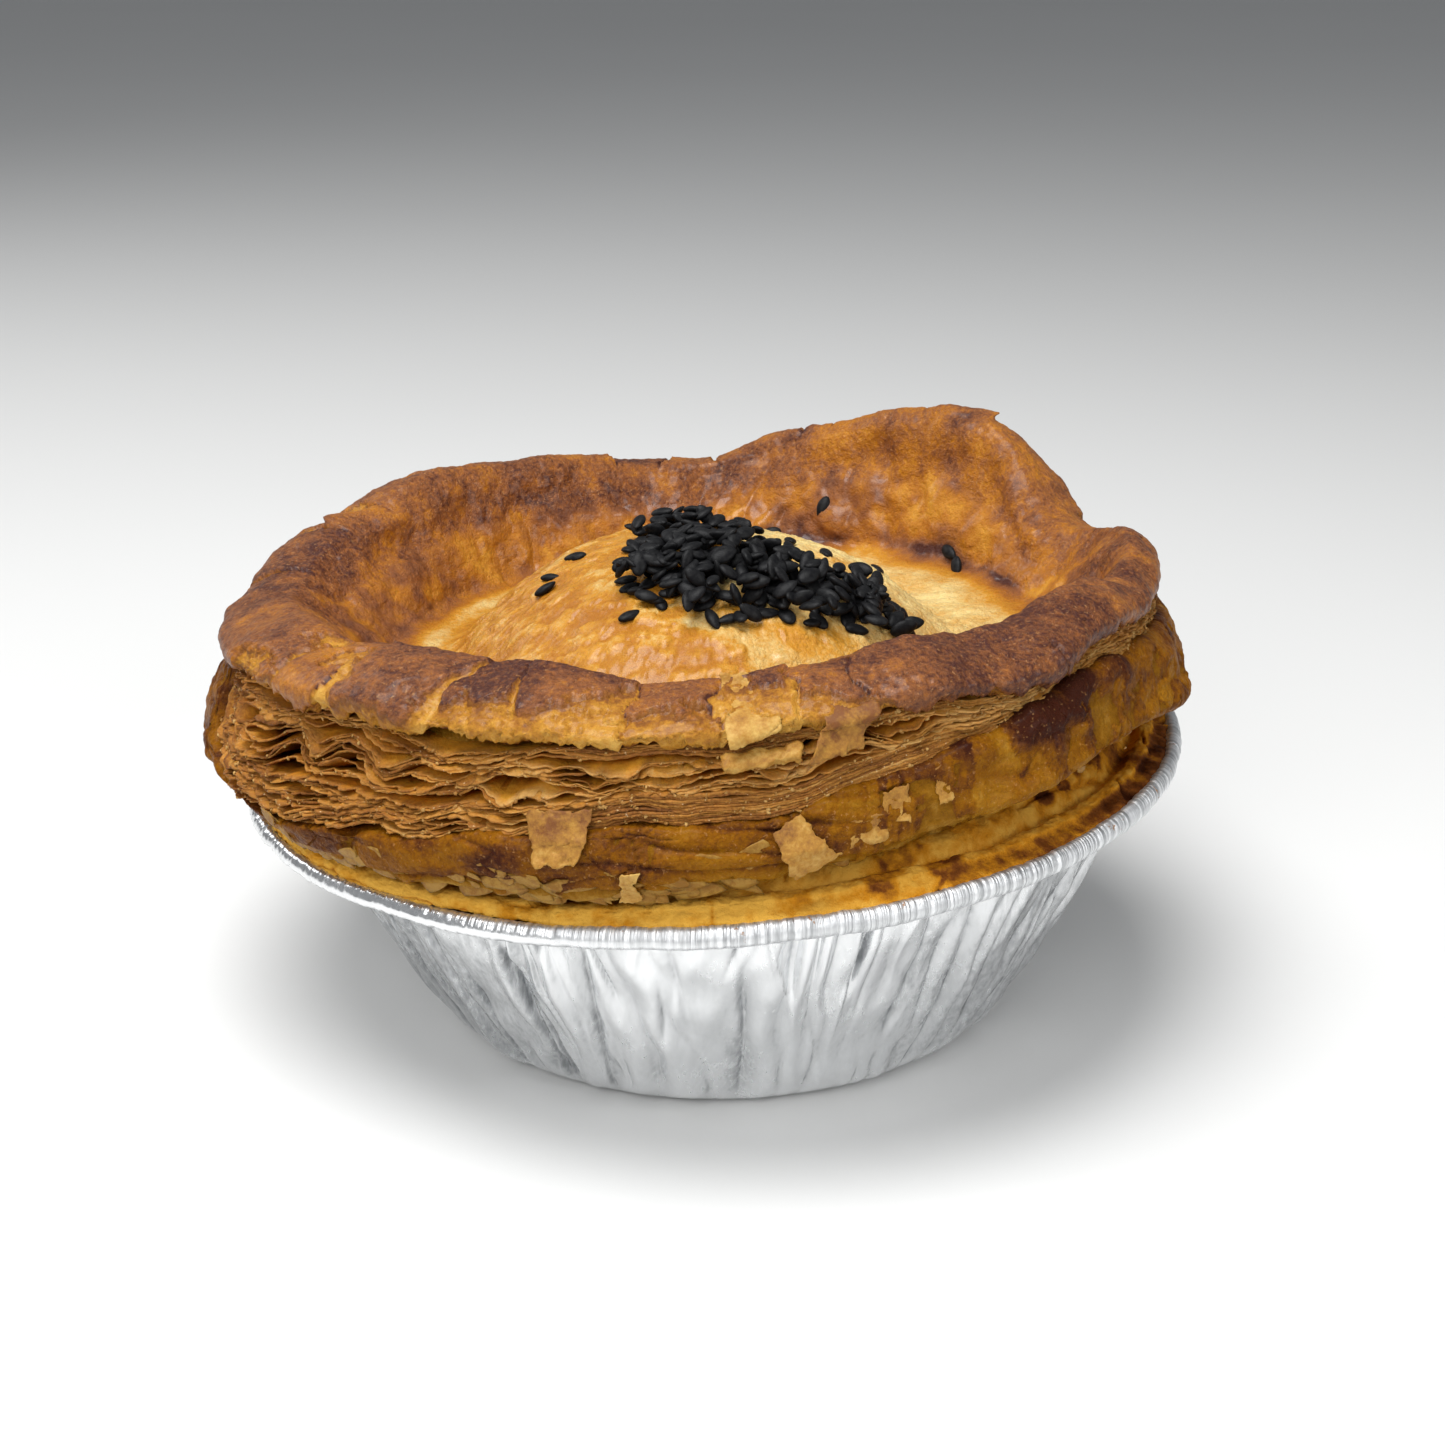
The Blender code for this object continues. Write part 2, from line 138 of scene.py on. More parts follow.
class PieColours(bpy.types.PropertyGroup):
    """Colours of the foil, the pastry and the seeds."""

    foil: colour("Foil", "Bright aluminium foil", (0.93, 0.94, 0.95))
    short_pale: colour("Short pastry, pale", "Short pastry baked least", (0.76, 0.41, 0.062))
    short_brown: colour("Short pastry, brown", "Short pastry baked most", (0.20, 0.062, 0.012))
    cream: colour("Cream", "Puff pastry that has hardly browned", (0.74, 0.56, 0.23))
    gold: colour("Gold", "Puff pastry baked gold", (0.56, 0.250, 0.020))
    amber: colour("Amber", "Puff pastry baked amber", (0.40, 0.142, 0.007))
    brown: colour("Brown", "Puff pastry baked brown", (0.240, 0.080, 0.019))
    burnt: colour("Burnt", "Puff pastry that has caught", (0.062, 0.015, 0.008))
    leaf_edge: colour("Leaf edge", "Torn edge of a leaf", (0.43, 0.188, 0.036))
    seed: colour("Sesame", "Black sesame", (0.004, 0.004, 0.005))


# ---------------------------------------------------------------- noise

SLOPES = np.array(
    [
        (1, 1, 0), (-1, 1, 0), (1, -1, 0), (-1, -1, 0), (1, 0, 1), (-1, 0, 1), (1, 0, -1), (-1, 0, -1),
        (0, 1, 1), (0, -1, 1), (0, 1, -1), (0, -1, -1), (1, 1, 0), (-1, 1, 0), (0, -1, 1), (0, -1, -1),
    ],
    np.float32,
)


def scrambled(cells, seed):
    """A scrambled whole number for each lattice cell."""
    cells = cells.astype(np.int64)
    mixed = cells[..., 0] * 374761393 + cells[..., 1] * 668265263 + cells[..., 2] * 1103515245 + seed * 69069
    mixed = (mixed ^ (mixed >> 13)) * 1274126177
    return (mixed ^ (mixed >> 16)) & 0x7FFFFFFF


def grain(points, size, seed=0):
    """Smooth noise from -1 to 1 whose lumps are about this size. points end in x, y, z."""
    places = np.asarray(points) / size
    cells = np.floor(places)
    part = (places - cells).astype(np.float32)
    fade = part**3 * (part * (part * 6.0 - 15.0) + 10.0)
    total = np.zeros(places.shape[:-1], np.float32)
    for corner in np.ndindex(2, 2, 2):
        slope = SLOPES[scrambled(cells + corner, seed) & 15]
        away = part - np.array(corner, np.float32)
        share = np.ones_like(total)
        for axis in range(3):
            share *= fade[..., axis] if corner[axis] else 1.0 - fade[..., axis]
        total += share * (slope * away).sum(-1)
    return total * 1.2


def layers(points, size, octaves, seed=0, gain=0.5):
    """Noise on several scales, from this size down."""
    total, weight = 0.0, 1.0
    for octave in range(octaves):
        total = total + weight * grain(points, size / 2.0**octave, seed + 17 * octave)
        weight *= gain
    return total


def creases(points, size, seed=0, sharp=1.0):
    """Noise from 0 to 1 that peaks in narrow ridges."""
    return np.clip(1.0 - np.abs(grain(points, size, seed)) * 2.2, 0.0, 1.0) ** sharp


def patches(points, size, seed=0):
    """Cells of space round scattered points: distance to the nearest border, and a number for each cell."""
    places = np.asarray(points) / size
    cells = np.floor(places)
    near = np.full(places.shape[:-1], 9.0)
    second, tag = near.copy(), np.zeros(places.shape[:-1])
    for step in np.ndindex(3, 3, 3):
        cell = cells + np.array(step) - 1
        mixed = scrambled(cell, seed)
        spot = cell + np.stack([mixed & 1023, (mixed >> 10) & 1023, (mixed >> 20) & 1023], -1) / 1023.0
        away = np.linalg.norm(places - spot, axis=-1)
        closer = away < near
        second = np.where(closer, near, np.minimum(second, away))
        tag = np.where(closer, (mixed >> 5 & 1023) / 1023.0, tag)
        near = np.minimum(near, away)
    return (second - near) * 0.5, tag


def ramp(low, high, values):
    """0 up to low, 1 from high, and smooth between."""
    share = np.clip((values - low) / (high - low), 0.0, 1.0)
    return share * share * (3.0 - 2.0 * share)


# ---------------------------------------------------------------- outlines, as in the source of the solids


class Swell:
    """A rise or fall round the pie, strongest at one angle and fading over its spread, in degrees."""

    def __init__(self, angle, amount, spread):
        self.angle, self.amount, self.spread = angle, amount, spread

    def at(self, angle):
        away = (np.degrees(angle) - self.angle + 180.0) % 360.0 - 180.0
        return self.amount * np.exp(-((away / self.spread) ** 2))


def swelled(swells, angle):
    """The swells' sum at these angles, in radians."""
    return sum(Swell(*swell).at(angle) for swell in swells)


# Swells of the outlines: angle in degrees, amount in millimetres and spread in degrees
CREST_RISES = [
    (55, 5.4, 23), (40, 3.2, 12), (18, -6.2, 13), (-13, -1.4, 14), (-60, 1.2, 11), (-55, -1.5, 9),
    (-38, 1.4, 9), (-125, 1.2, 18), (178, -2.6, 16), (142, 3.4, 22), (90, -1.2, 16), (92, -0.9, 8),
    (151, -1.6, 6),
]
CREST_SPREADS = [(0, 4.2, 26), (180, 4.6, 34), (90, 1.6, 40), (-62, -1.6, 16), (20, -2.4, 10)]
LIP_RISES = [
    (-92, -0.4, 22), (-64, 1.9, 14), (-44, 1.1, 16), (-5, -0.8, 20), (-145, 1.1, 20), (182, -2.0, 22),
    (40, 1.0, 30),
]
LIP_INSETS = [(180, 1.6, 45), (-8, 3.0, 40)]
UNDERCUTS = [(-22, 5.6, 42), (182, 4.4, 34), (100, 1.5, 50)]
DRAPES = [(180, 1.4, 40)]
HEM_RISES = [(-40, 3.2, 30), (-100, -0.3, 30)]
TIN_DENTS = [(-170, -2.4, 48)]
# Angle in degrees of the middle of the left side, where the skin hides the leaves
CLOSED_LEFT = 183.0
# Height in millimetres at which the lid's smooth lower band ends and its open leaves begin, by angle
BAND_TOPS = [
    (-180, 39.5), (-152, 39.0), (-144, 40.0), (-135, 41.6), (-127, 43.0), (-121, 43.2), (-113, 44.4),
    (-103, 45.5), (-97, 46.0), (-90, 45.6), (-85, 45.2), (-80, 46.0), (-74, 47.4), (-70, 48.2), (-62, 49.2),
    (-51, 50.4), (-43, 51.4), (-36, 51.6), (-22, 50.0), (0, 48.5), (40, 46.0), (90, 44.0),
    (150, 42.0), (180, 39.5),
]


class Outline:
    """The pie's outlines at evenly spaced angles: each is an array with one value for each angle."""

    def __init__(self, count):
        self.count = count
        self.angle = np.arange(count) * math.tau / count
        self.cos, self.sin = np.cos(self.angle), np.sin(self.angle)
        ellipse = 1.0 / np.hypot(self.cos / LID_HALF_WIDTH, self.sin / LID_HALF_DEPTH)
        shift = LID_CENTRE[0] * self.cos + LID_CENTRE[1] * self.sin
        self.belly = shift + ellipse + self.rough(0.9, 2.2)
        self.crest = CREST_RADIUS + swelled(CREST_SPREADS, self.angle) * MM + self.rough(0.8, 3.0, 5.0)
        self.top = CREST_HEIGHT + swelled(CREST_RISES, self.angle) * MM + self.rough(0.7, 3.5, 9.0)
        self.lip = self.belly - LIP_INSET - swelled(LIP_INSETS, self.angle) * MM
        lip_height = LIP_HEIGHT + swelled(LIP_RISES, self.angle) * MM + self.rough(0.9, 5.0, 3.0)
        self.lip_height = np.minimum(lip_height, self.top - LIP_BELOW_CREST)
        self.floor = WELL_FLOOR_RADIUS + self.rough(1.2, 2.5, 8.0)
        self.blister = self.rough(0.9, 6.0, 2.0)
        self.undercut = HEM_UNDERCUT + swelled(UNDERCUTS, self.angle) * MM
        self.drape = swelled(DRAPES, self.angle) * MM
        self.dent = swelled(TIN_DENTS, self.angle) * MM
        self.hem_height = LID_UNDERSIDE + HEM_GAP - self.drape + swelled(HEM_RISES, self.angle) * MM
        self.foot = self.band_top()

    def rough(self, size, waves, height=0.0):
        """Unevenness of this size, in millimetres, that closes on itself round the pie."""
        spots = zip(waves * self.cos, waves * self.sin)
        return np.array([noise.noise((x, y, height)) for x, y in spots]) * size * MM

    def degrees(self):
        """The angles from -180 to 180."""
        return (np.degrees(self.angle) + 540.0) % 360.0 - 180.0

    def nearest(self, turn):
        """The number of the angle nearest to this turn, in radians."""
        return np.round(turn / math.tau * self.count).astype(int) % self.count

    def band_top(self):
        """Where the lower band ends. At the left it reaches the lip, and hides the leaves."""
        low = np.interp(self.degrees(), *zip(*BAND_TOPS)) * MM + self.rough(0.7, 8.0, 4.0)
        return low + (self.lip_height + 0.3 * MM - low) * self.closed_left()

    def closed_left(self):
        """1 where the skin of the left side hides the leaves, 0 where they are open."""
        from_left = np.abs((np.degrees(self.angle) - CLOSED_LEFT + 180.0) % 360.0 - 180.0)
        return 1.0 - ramp(9.0, 19.0, from_left + 5.0 * self.rough(1.0, 9.0, 6.0) / MM)

    def side(self, height, pick=slice(None)):
        """Radius of the lid's side at this height, from its hem over its belly up to the lip."""
        lip_height, hem_height, belly = self.lip_height[pick], self.hem_height[pick], self.belly[pick]
        up = np.clip((height - LID_BELLY_HEIGHT) / (lip_height - LID_BELLY_HEIGHT), 0.0, 1.0)
        down = np.clip((LID_BELLY_HEIGHT - height) / (LID_BELLY_HEIGHT - hem_height), 0.0, 1.0)
        return belly + (self.lip[pick] + 0.4 * MM - belly) * up - self.undercut[pick] * down**1.7

    def outside(self, height, pick):
        """Radius of the lid's outside at this height, over its side and its folded rim."""
        lip_height, lip, crest = self.lip_height[pick], self.lip[pick], self.crest[pick]
        share = np.clip((height - lip_height) / (self.top[pick] - lip_height), 0.0, 1.0)
        bulge = 0.9 * (1.0 - (2.0 * np.minimum(share, 0.5) - 0.4) ** 2) * MM
        above = lip + bulge - share**2.4 * (lip - crest)
        return np.where(height > lip_height, above, self.side(height, pick))

    def place(self, rows):
        """Turns rows of (radius, height) at each angle into points, with the pie's lean."""
        radius, height = rows[..., 0], rows[..., 1]
        x, y = radius * self.cos, radius * self.sin
        return np.stack([x, y, height + LEAN * x * np.minimum(1.0, height / TIN_HEIGHT)], -1)


def dome_height(x, y):
    """Height of the domed middle at this place in plan, without the pie's lean."""
    right, back = x - DOME_CENTRE[0], y - DOME_CENTRE[1]
    across = np.where(right > 0.0, DOME_SIDES[1], DOME_SIDES[0])
    deep = np.where(back > 0.0, DOME_ENDS[1], DOME_ENDS[0])
    share = np.minimum(1.0, np.hypot(right / across, back / deep))
    return WELL_FLOOR_HEIGHT + DOME_RISE * (1.0 - share**DOME_FULLNESS)


def ring(radius, height, outline):
    """One control ring of a surface: radius and height may be numbers or arrays."""
    ones = np.ones(outline.count)
    return np.stack([radius * ones, height * ones], -1)


def through(rings, steps):
    """Rows of a smooth surface through control rings, with so many steps from each to the next."""
    rings = np.array(rings)
    padded = np.concatenate([2 * rings[:1] - rings[1:2], rings, 2 * rings[-1:] - rings[-2:-1]])
    rows = []
    for number, count in enumerate(steps):
        a, b, c, d = padded[number : number + 4]
        t = (np.arange(count) / count)[:, None, None]
        curve = 2 * b + (c - a) * t + (2 * a - 5 * b + 4 * c - d) * t**2 + (3 * b - a - 3 * c + d) * t**3
        rows.append(0.5 * curve)
    rows.append(rings[-1:])
    return np.concatenate(rows)


def spans(steps):
    """How far along its control rings each row of through() is: 2.5 is halfway between two of them."""
    parts = [number + np.arange(count) / count for number, count in enumerate(steps)]
    return np.concatenate([*parts, [float(len(steps))]])


def normals(grid):
    """Outward directions of a grid of points whose rows run up its outside."""
    across = np.roll(grid, -1, axis=1) - np.roll(grid, 1, axis=1)
    along = np.gradient(grid, axis=0)
    out = np.cross(across, along)
    return out / np.maximum(np.linalg.norm(out, axis=-1, keepdims=True), 1e-12)


# ---------------------------------------------------------------- meshes


def grid_faces(rows, count, wrap):
    """Four-sided faces of a grid that closes round the pie. wrap also joins its last row to its first."""
    first = np.arange(rows if wrap else rows - 1)[:, None]
    turn = np.arange(count)[None, :]
    below, above = first * count, (first + 1) % rows * count
    left, right = turn, (turn + 1) % count
    return np.stack([below + left, below + right, above + right, above + left], -1).reshape(-1, 4)


def finished(name, mesh, material):
    """The piece's object, riding on the pie."""
    mesh.materials.clear()
    mesh.materials.append(material)
    piece = bpy.data.objects.new(name, mesh)
    bpy.context.scene.collection.objects.link(piece)
    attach(piece, "root")
    return piece


def add_values(mesh, values):
    """Gives the mesh numbers for its points, which the materials read by name."""
    for name, value in values.items():
        made = mesh.attributes.new(name, "FLOAT", "POINT")
        made.data.foreach_set("value", value.astype(np.float32).ravel())


def hoop(name, grids, material, slot, **values):
    """A closed piece of one or more rings: the last row of each grid joins its first."""
    points, faces, start = [], [], 0
    for grid in grids:
        rows, count = grid.shape[:2]
        points.append(grid.reshape(-1, 3))
        faces.append(grid_faces(rows, count, True) + start)
        start += rows * count
    mesh = bpy.data.meshes.new(name)
    mesh.from_pydata(np.concatenate(points), [], np.concatenate(faces), shade_flat=False)
    add_values(mesh, {key: np.concatenate([part.ravel() for part in parts]) for key, parts in values.items()})
    return finished(name, mesh, material)


def bun(name, grid, material, slot, **values):
    """A closed piece whose first and last rows shrink to the points at its bottom and top."""
    rows, count = grid.shape[:2]
    body = grid[1:-1]
    poles = np.array([grid[0].mean(0), grid[-1].mean(0)])
    bottom = count * (rows - 2)
    turn = np.arange(count)
    last = (rows - 3) * count
    under = np.stack([(turn + 1) % count, turn, np.full(count, bottom)], -1)
    over = np.stack([last + turn, last + (turn + 1) % count, np.full(count, bottom + 1)], -1)
    mesh = bpy.data.meshes.new(name)
    faces = [*grid_faces(rows - 2, count, False).tolist(), *under.tolist(), *over.tolist()]
    mesh.from_pydata(np.concatenate([body.reshape(-1, 3), poles]), [], faces, shade_flat=False)
    for key, value in values.items():
        ends = [value[0].mean(), value[-1].mean()]
        add_values(mesh, {key: np.concatenate([value[1:-1].ravel(), ends])})
    return finished(name, mesh, material)


# ---------------------------------------------------------------- materials


class Finish:
    """A material's nodes. A value given to an input may be a number, a colour or another node's output."""

    def __init__(self, name, **constants):
        self.material = bpy.data.materials.new(name)
        self.material.use_nodes = True
        self.tree = self.material.node_tree
        self.shader = self.tree.nodes["Principled BSDF"]
        for key, value in constants.items():
            self.shader.inputs[key.replace("_", " ")].default_value = value
        self.place = self.node("ShaderNodeTexCoord").outputs["Object"]

    def node(self, kind, inputs=(), **settings):
        made = self.tree.nodes.new(kind)
        for key, value in settings.items():
            setattr(made, key, value)
        for key, value in dict(inputs).items():
            self.feed(made.inputs[key], value)
        return made

    def feed(self, socket, value):
        if isinstance(value, bpy.types.NodeSocket):
            self.tree.links.new(value, socket)
        else:
            socket.default_value = value

    def value(self, name):
        """A number that the mesh holds at each point."""
        return self.node("ShaderNodeAttribute", attribute_name=name).outputs["Fac"]

    def noise(self, size, detail=2.0, rough=0.5, stretch=None, place=None):
        """Noise from 0 to 1 with lumps of about this size."""
        place = place or self.place
        if stretch:
            scale = {"Vector": place, "Scale": stretch}
            place = self.node("ShaderNodeMapping", scale).outputs["Vector"]
        inputs = {"Vector": place, "Scale": 1.0 / size, "Detail": detail, "Roughness": rough}
        return self.node("ShaderNodeTexNoise", inputs).outputs["Fac"]

    def maths(self, operation, a, b=0.0, c=0.0, clamp=False):
        node = self.node("ShaderNodeMath", {0: a, 1: b, 2: c}, operation=operation, use_clamp=clamp)
        return node.outputs["Value"]

    def plus(self, value, noise, size):
        """value with noise of 0 to 1 added as plus or minus half of size."""
        centred = self.maths("MULTIPLY_ADD", noise, size, -0.5 * size)
        return self.maths("ADD", value, centred)

    def between(self, value, low, high, to_low=0.0, to_high=1.0):
        inputs = {"Value": value, "From Min": low, "From Max": high, "To Min": to_low, "To Max": to_high}
        return self.node("ShaderNodeMapRange", inputs).outputs["Result"]

    def blend(self, share, a, b, kind="MIX"):
        node = self.node("ShaderNodeMix", data_type="RGBA", blend_type=kind)
        self.feed(node.inputs[0], share)
        for socket, value in zip((node.inputs[6], node.inputs[7]), (a, b)):
            self.feed(socket, (*value, 1.0) if isinstance(value, (tuple, list)) else value)
        return node.outputs[2]

    def shades(self, value, stops):
        """A colour ramp: stops are (position, colour) pairs."""
        node = self.node("ShaderNodeValToRGB", {"Fac": value})
        elements = node.color_ramp.elements
        while len(elements) < len(stops):
            elements.new(0.5)
        for element, (position, shade) in zip(elements, stops):
            element.position = position
            element.color = (*shade, 1.0)
        return node.outputs["Color"]

    def bump(self, height, distance, normal=None, strength=1.0):
        inputs = {"Height": height, "Distance": distance, "Strength": strength}
        if normal:
            inputs["Normal"] = normal
        return self.node("ShaderNodeBump", inputs).outputs["Normal"]

    def done(self, **outputs):
        for key, value in outputs.items():
            self.feed(self.shader.inputs[key.replace("_", " ")], value)
        return self.material


def colours():
    group = bpy.context.scene.pie_colours
    return {name: tuple(getattr(group, name)) for name in PieColours.__annotations__}


def sizes():
    return bpy.context.scene.pie_sizes


def foil_finish():
    """Crumpled foil, with painted shade where a fold turns away and painted highlights and streaks for its
    reflections, painted shade in the ticks across its rim, and a few caramel stains.
    """
    finish = Finish("crumpled_foil", Metallic=1.0)
    tone = colours()["foil"]
    streak = finish.noise(0.6 * MM, 4.0, 0.6, stretch=(1.0, 1.0, 0.09))
    cloud = finish.noise(9.0 * MM, 2.0)
    shine = finish.between(finish.plus(streak, cloud, 0.8), 0.3, 0.8, 0.15, 0.32)
    stain = finish.noise(2.2 * MM, 4.0, 0.65)
    parts = finish.node("ShaderNodeSeparateXYZ", {0: finish.place}).outputs
    on_rim = finish.between(parts["Z"], 31.5 * MM, 33.0 * MM)
    turn = finish.maths("ARCTAN2", parts["Y"], parts["X"])
    along_rim = finish.maths("MULTIPLY", turn, TIN_RIM_RADIUS / MM)
    inputs = {"W": along_rim, "Scale": 1.3, "Detail": 3.0, "Roughness": 0.6}
    ticks = finish.node("ShaderNodeTexNoise", inputs, noise_dimensions="1D").outputs[0]
    ticks = finish.maths("MULTIPLY", finish.between(ticks, 0.38, 0.62), on_rim)
    stained = finish.maths("MULTIPLY", finish.between(stain, 0.655, 0.70), on_rim)
    shine = finish.maths("MULTIPLY_ADD", on_rim, 0.26, shine)
    # Painted light: the foil's tone runs from dark grey to bright with the mesh's fold value and fine
    # streaks, standing in for shade and reflections on its folds.
    lit = finish.plus(finish.value("fold"), finish.between(streak, 0.3, 0.7), 0.15)
    tone = finish.shades(lit, [(0.08, (0.22, 0.23, 0.24)), (0.34, (0.76, 0.77, 0.78)), (0.62, tone)])
    # The ticks across the rim are darkened as painted shade in their creases.
    tone = finish.blend(finish.maths("MULTIPLY", ticks, 0.65), tone, (0.34, 0.35, 0.36))
    base = finish.blend(stained, tone, (0.30, 0.13, 0.035))
    bump = finish.bump(streak, 0.03 * MM)
    bump = finish.bump(finish.noise(0.5 * MM, 2.0), 0.008 * MM, bump)
    bump = finish.bump(ticks, 0.12 * MM, bump)
    metal = finish.maths("MULTIPLY_ADD", stained, -0.88, 0.88)
    return finish.done(Base_Color=base, Roughness=shine, Metallic=metal, Normal=bump)


def short_pastry_finish():
    """Crumbly short pastry. bake runs from pale to dark brown."""
    finish = Finish("short_pastry", Specular_IOR_Level=0.02)
    shade = colours()
    bake = finish.plus(finish.value("bake"), finish.noise(2.6 * MM, 4.0, 0.6), 0.62)
    bake = finish.plus(bake, finish.noise(0.5 * MM, 3.0, 0.7), 0.40)
    stops = [
        (0.1, shade["short_pale"]),
        (0.42, (0.58, 0.235, 0.014)),
        (0.72, shade["short_brown"]),
        (1.0, (0.05, 0.013, 0.004)),
    ]
    base = finish.shades(bake, stops)
    crumb = finish.noise(0.45 * MM, 4.0, 0.65)
    bump = finish.bump(crumb, 0.28 * MM)
    rough = finish.between(finish.noise(1.4 * MM), 0.3, 0.7, 0.62, 0.42)
    return finish.done(Base_Color=base, Roughness=rough, Normal=bump)


def skin_stops(shade):
    """The skin's colours, from hardly browned to caught."""
    return [
        (0.0, shade["cream"]),
        (0.25, shade["gold"]),
        (0.5, shade["amber"]),
        (0.74, shade["brown"]),
        (1.0, shade["burnt"]),
    ]


# Colours of the leaves under a flaked skin, from its edge inwards, and of the band's skin, pale to burnt
ROLL_LAYERS = [(0.0, (0.30, 0.110, 0.007)), (0.35, (0.48, 0.215, 0.018)), (0.9, (0.63, 0.36, 0.070))]
BAND_LAYERS = [(0.0, (0.18, 0.070, 0.003)), (0.4, (0.25, 0.108, 0.007)), (0.9, (0.38, 0.205, 0.036))]
BAND_SKIN = [
    (0.0, (0.40, 0.21, 0.026)), (0.3, (0.30, 0.128, 0.007)), (0.58, (0.22, 0.078, 0.003)),
    (0.8, (0.11, 0.034, 0.007)), (1.0, (0.045, 0.011, 0.005)),
]


def skin_finish(name, under, mottle_and_glints, shine, glaze, stops=None):
    """Baked skin of the puff pastry, with bare leaves under it. The mesh holds bake, which runs from pale to
    burnt, and bare, which is above 0 where the skin has gone. The third argument sets how finely mottled it
    is and how many pale glints are painted on it. A contact shadow is painted beside the skin's torn edge."""
    finish = Finish(
        name, Coat_Weight=glaze, Coat_Roughness=0.24, Subsurface_Weight=0.06, Specular_IOR_Level=shine
    )
    finish.shader.inputs["Subsurface Radius"].default_value = (1.0, 0.45, 0.2)
    finish.shader.inputs["Subsurface Scale"].default_value = 1.0 * MM
    fine = finish.between(finish.noise(0.62 * MM, 4.0, 0.68), 0.34, 0.66)
    bake = finish.plus(finish.value("bake"), finish.noise(3.0 * MM, 5.0, 0.62), 0.36)
    bake = finish.plus(bake, fine, mottle_and_glints)
    skin = finish.shades(bake, stops or skin_stops(colours()))
    # Pale specks are painted on as glints of light.
    painted_glints = finish.between(finish.noise(0.45 * MM, 2.0, 0.6), 0.63, 0.70, 0.0, 2.4 * (mottle_and_glints - 0.12))
    skin = finish.blend(painted_glints, skin, (0.58, 0.30, 0.11))
    bare = finish.plus(finish.value("bare"), finish.noise(0.9 * MM, 5.0, 0.7), 0.24)
    gone = finish.between(bare, -0.02, 0.03)
    depth = finish.plus(bare, finish.noise(1.8 * MM, 4.0, 0.6), 0.9)
    depth = finish.plus(depth, fine, 0.3)
    base = finish.blend(gone, skin, finish.shades(depth, under))
    # A contact shadow is painted in dark brown on the bare leaves just beside the skin's torn edge.
    painted_contact_shade = finish.maths("MULTIPLY", gone, finish.between(bare, 0.03, 0.075, 0.75, 0.0))
    base = finish.blend(painted_contact_shade, base, (0.15, 0.045, 0.008))
    bump = finish.bump(fine, 0.16 * MM)
    bump = finish.bump(finish.noise(1.2 * MM, 3.0, 0.5), 0.15 * MM, bump)
    matt = finish.plus(finish.between(gone, 0.0, 1.0, 0.40, 0.62), fine, 0.2)
    return finish.done(Base_Color=base, Roughness=matt, Normal=bump)


def leaf_finish():
    """Leaves of the flaky side. depth is 0 at a leaf's torn edge and 1 deep inside."""
    finish = Finish("leaf", Subsurface_Weight=0.12, Specular_IOR_Level=0.12)
    finish.shader.inputs["Subsurface Radius"].default_value = (1.0, 0.5, 0.2)
    finish.shader.inputs["Subsurface Scale"].default_value = 1.0 * MM
    shade = colours()
    bake = finish.plus(finish.value("bake"), finish.noise(3.0 * MM, 4.0, 0.6), 0.6)
    bake = finish.plus(bake, finish.noise(0.4 * MM, 3.0, 0.7), 0.75)
    edge_stops = [
        (0.0, (0.60, 0.34, 0.11)),
        (0.4, shade["leaf_edge"]),
        (0.7, (0.24, 0.092, 0.020)),
        (1.0, (0.09, 0.030, 0.009)),
    ]
    inner_stops = [(0.0, (0.74, 0.35, 0.036)), (0.5, (0.58, 0.23, 0.018)), (1.0, (0.28, 0.088, 0.010))]
    edge, inner = finish.shades(bake, edge_stops), finish.shades(bake, inner_stops)
    base = finish.blend(finish.between(finish.value("depth"), 0.05, 0.5), edge, inner)
    speck = finish.between(finish.noise(0.42 * MM, 3.0, 0.6), 0.66, 0.72)
    near = finish.between(finish.value("depth"), 0.3, 0.05)
    base = finish.blend(finish.maths("MULTIPLY", speck, near), base, (0.66, 0.47, 0.26))
    bump = finish.bump(finish.noise(0.4 * MM, 4.0, 0.7), 0.22 * MM)
    return finish.done(Base_Color=base, Roughness=0.58, Normal=bump)


def flake_finish(name, pale, toasted, brown=None):
    """Loose pastry, pale to toasted. toast browns it further, where the mesh holds it."""
    finish = Finish(name, Subsurface_Weight=0.10, Specular_IOR_Level=0.22)
    finish.shader.inputs["Subsurface Radius"].default_value = (1.0, 0.55, 0.25)
    finish.shader.inputs["Subsurface Scale"].default_value = 0.8 * MM
    cloud = finish.between(finish.noise(2.0 * MM, 5.0, 0.65), 0.25, 0.75)
    mix = finish.plus(cloud, finish.noise(0.5 * MM, 3.0, 0.7), 0.5)
    stops = [(0.32, pale), (0.68, toasted)]
    if brown:
        mix = finish.maths("ADD", finish.maths("MULTIPLY", mix, 0.6), finish.value("toast"))
        stops = [(0.25, pale), (0.62, toasted), (1.0, brown)]
    base = finish.shades(mix, stops)
    bump = finish.bump(finish.noise(0.35 * MM, 4.0, 0.65), 0.10 * MM)
    return finish.done(Base_Color=base, Roughness=0.52, Normal=bump)


def seed_finish():
    """Black sesame, finely mottled with dark grey."""
    finish = Finish("black_sesame", Specular_IOR_Level=0.13)
    grey = finish.noise(0.6 * MM, 3.0, 0.6)
    base = finish.shades(grey, [(0.35, colours()["seed"]), (0.80, (0.016, 0.016, 0.016))])
    bump = finish.bump(finish.noise(0.18 * MM, 2.0), 0.03 * MM)
    return finish.done(Base_Color=base, Roughness=0.46, Normal=bump)


# ---------------------------------------------------------------- the foil tin

# Pleats round the foil's wall, and sharp folds strewn over it
PLEATS = 76
FOLDS = 170


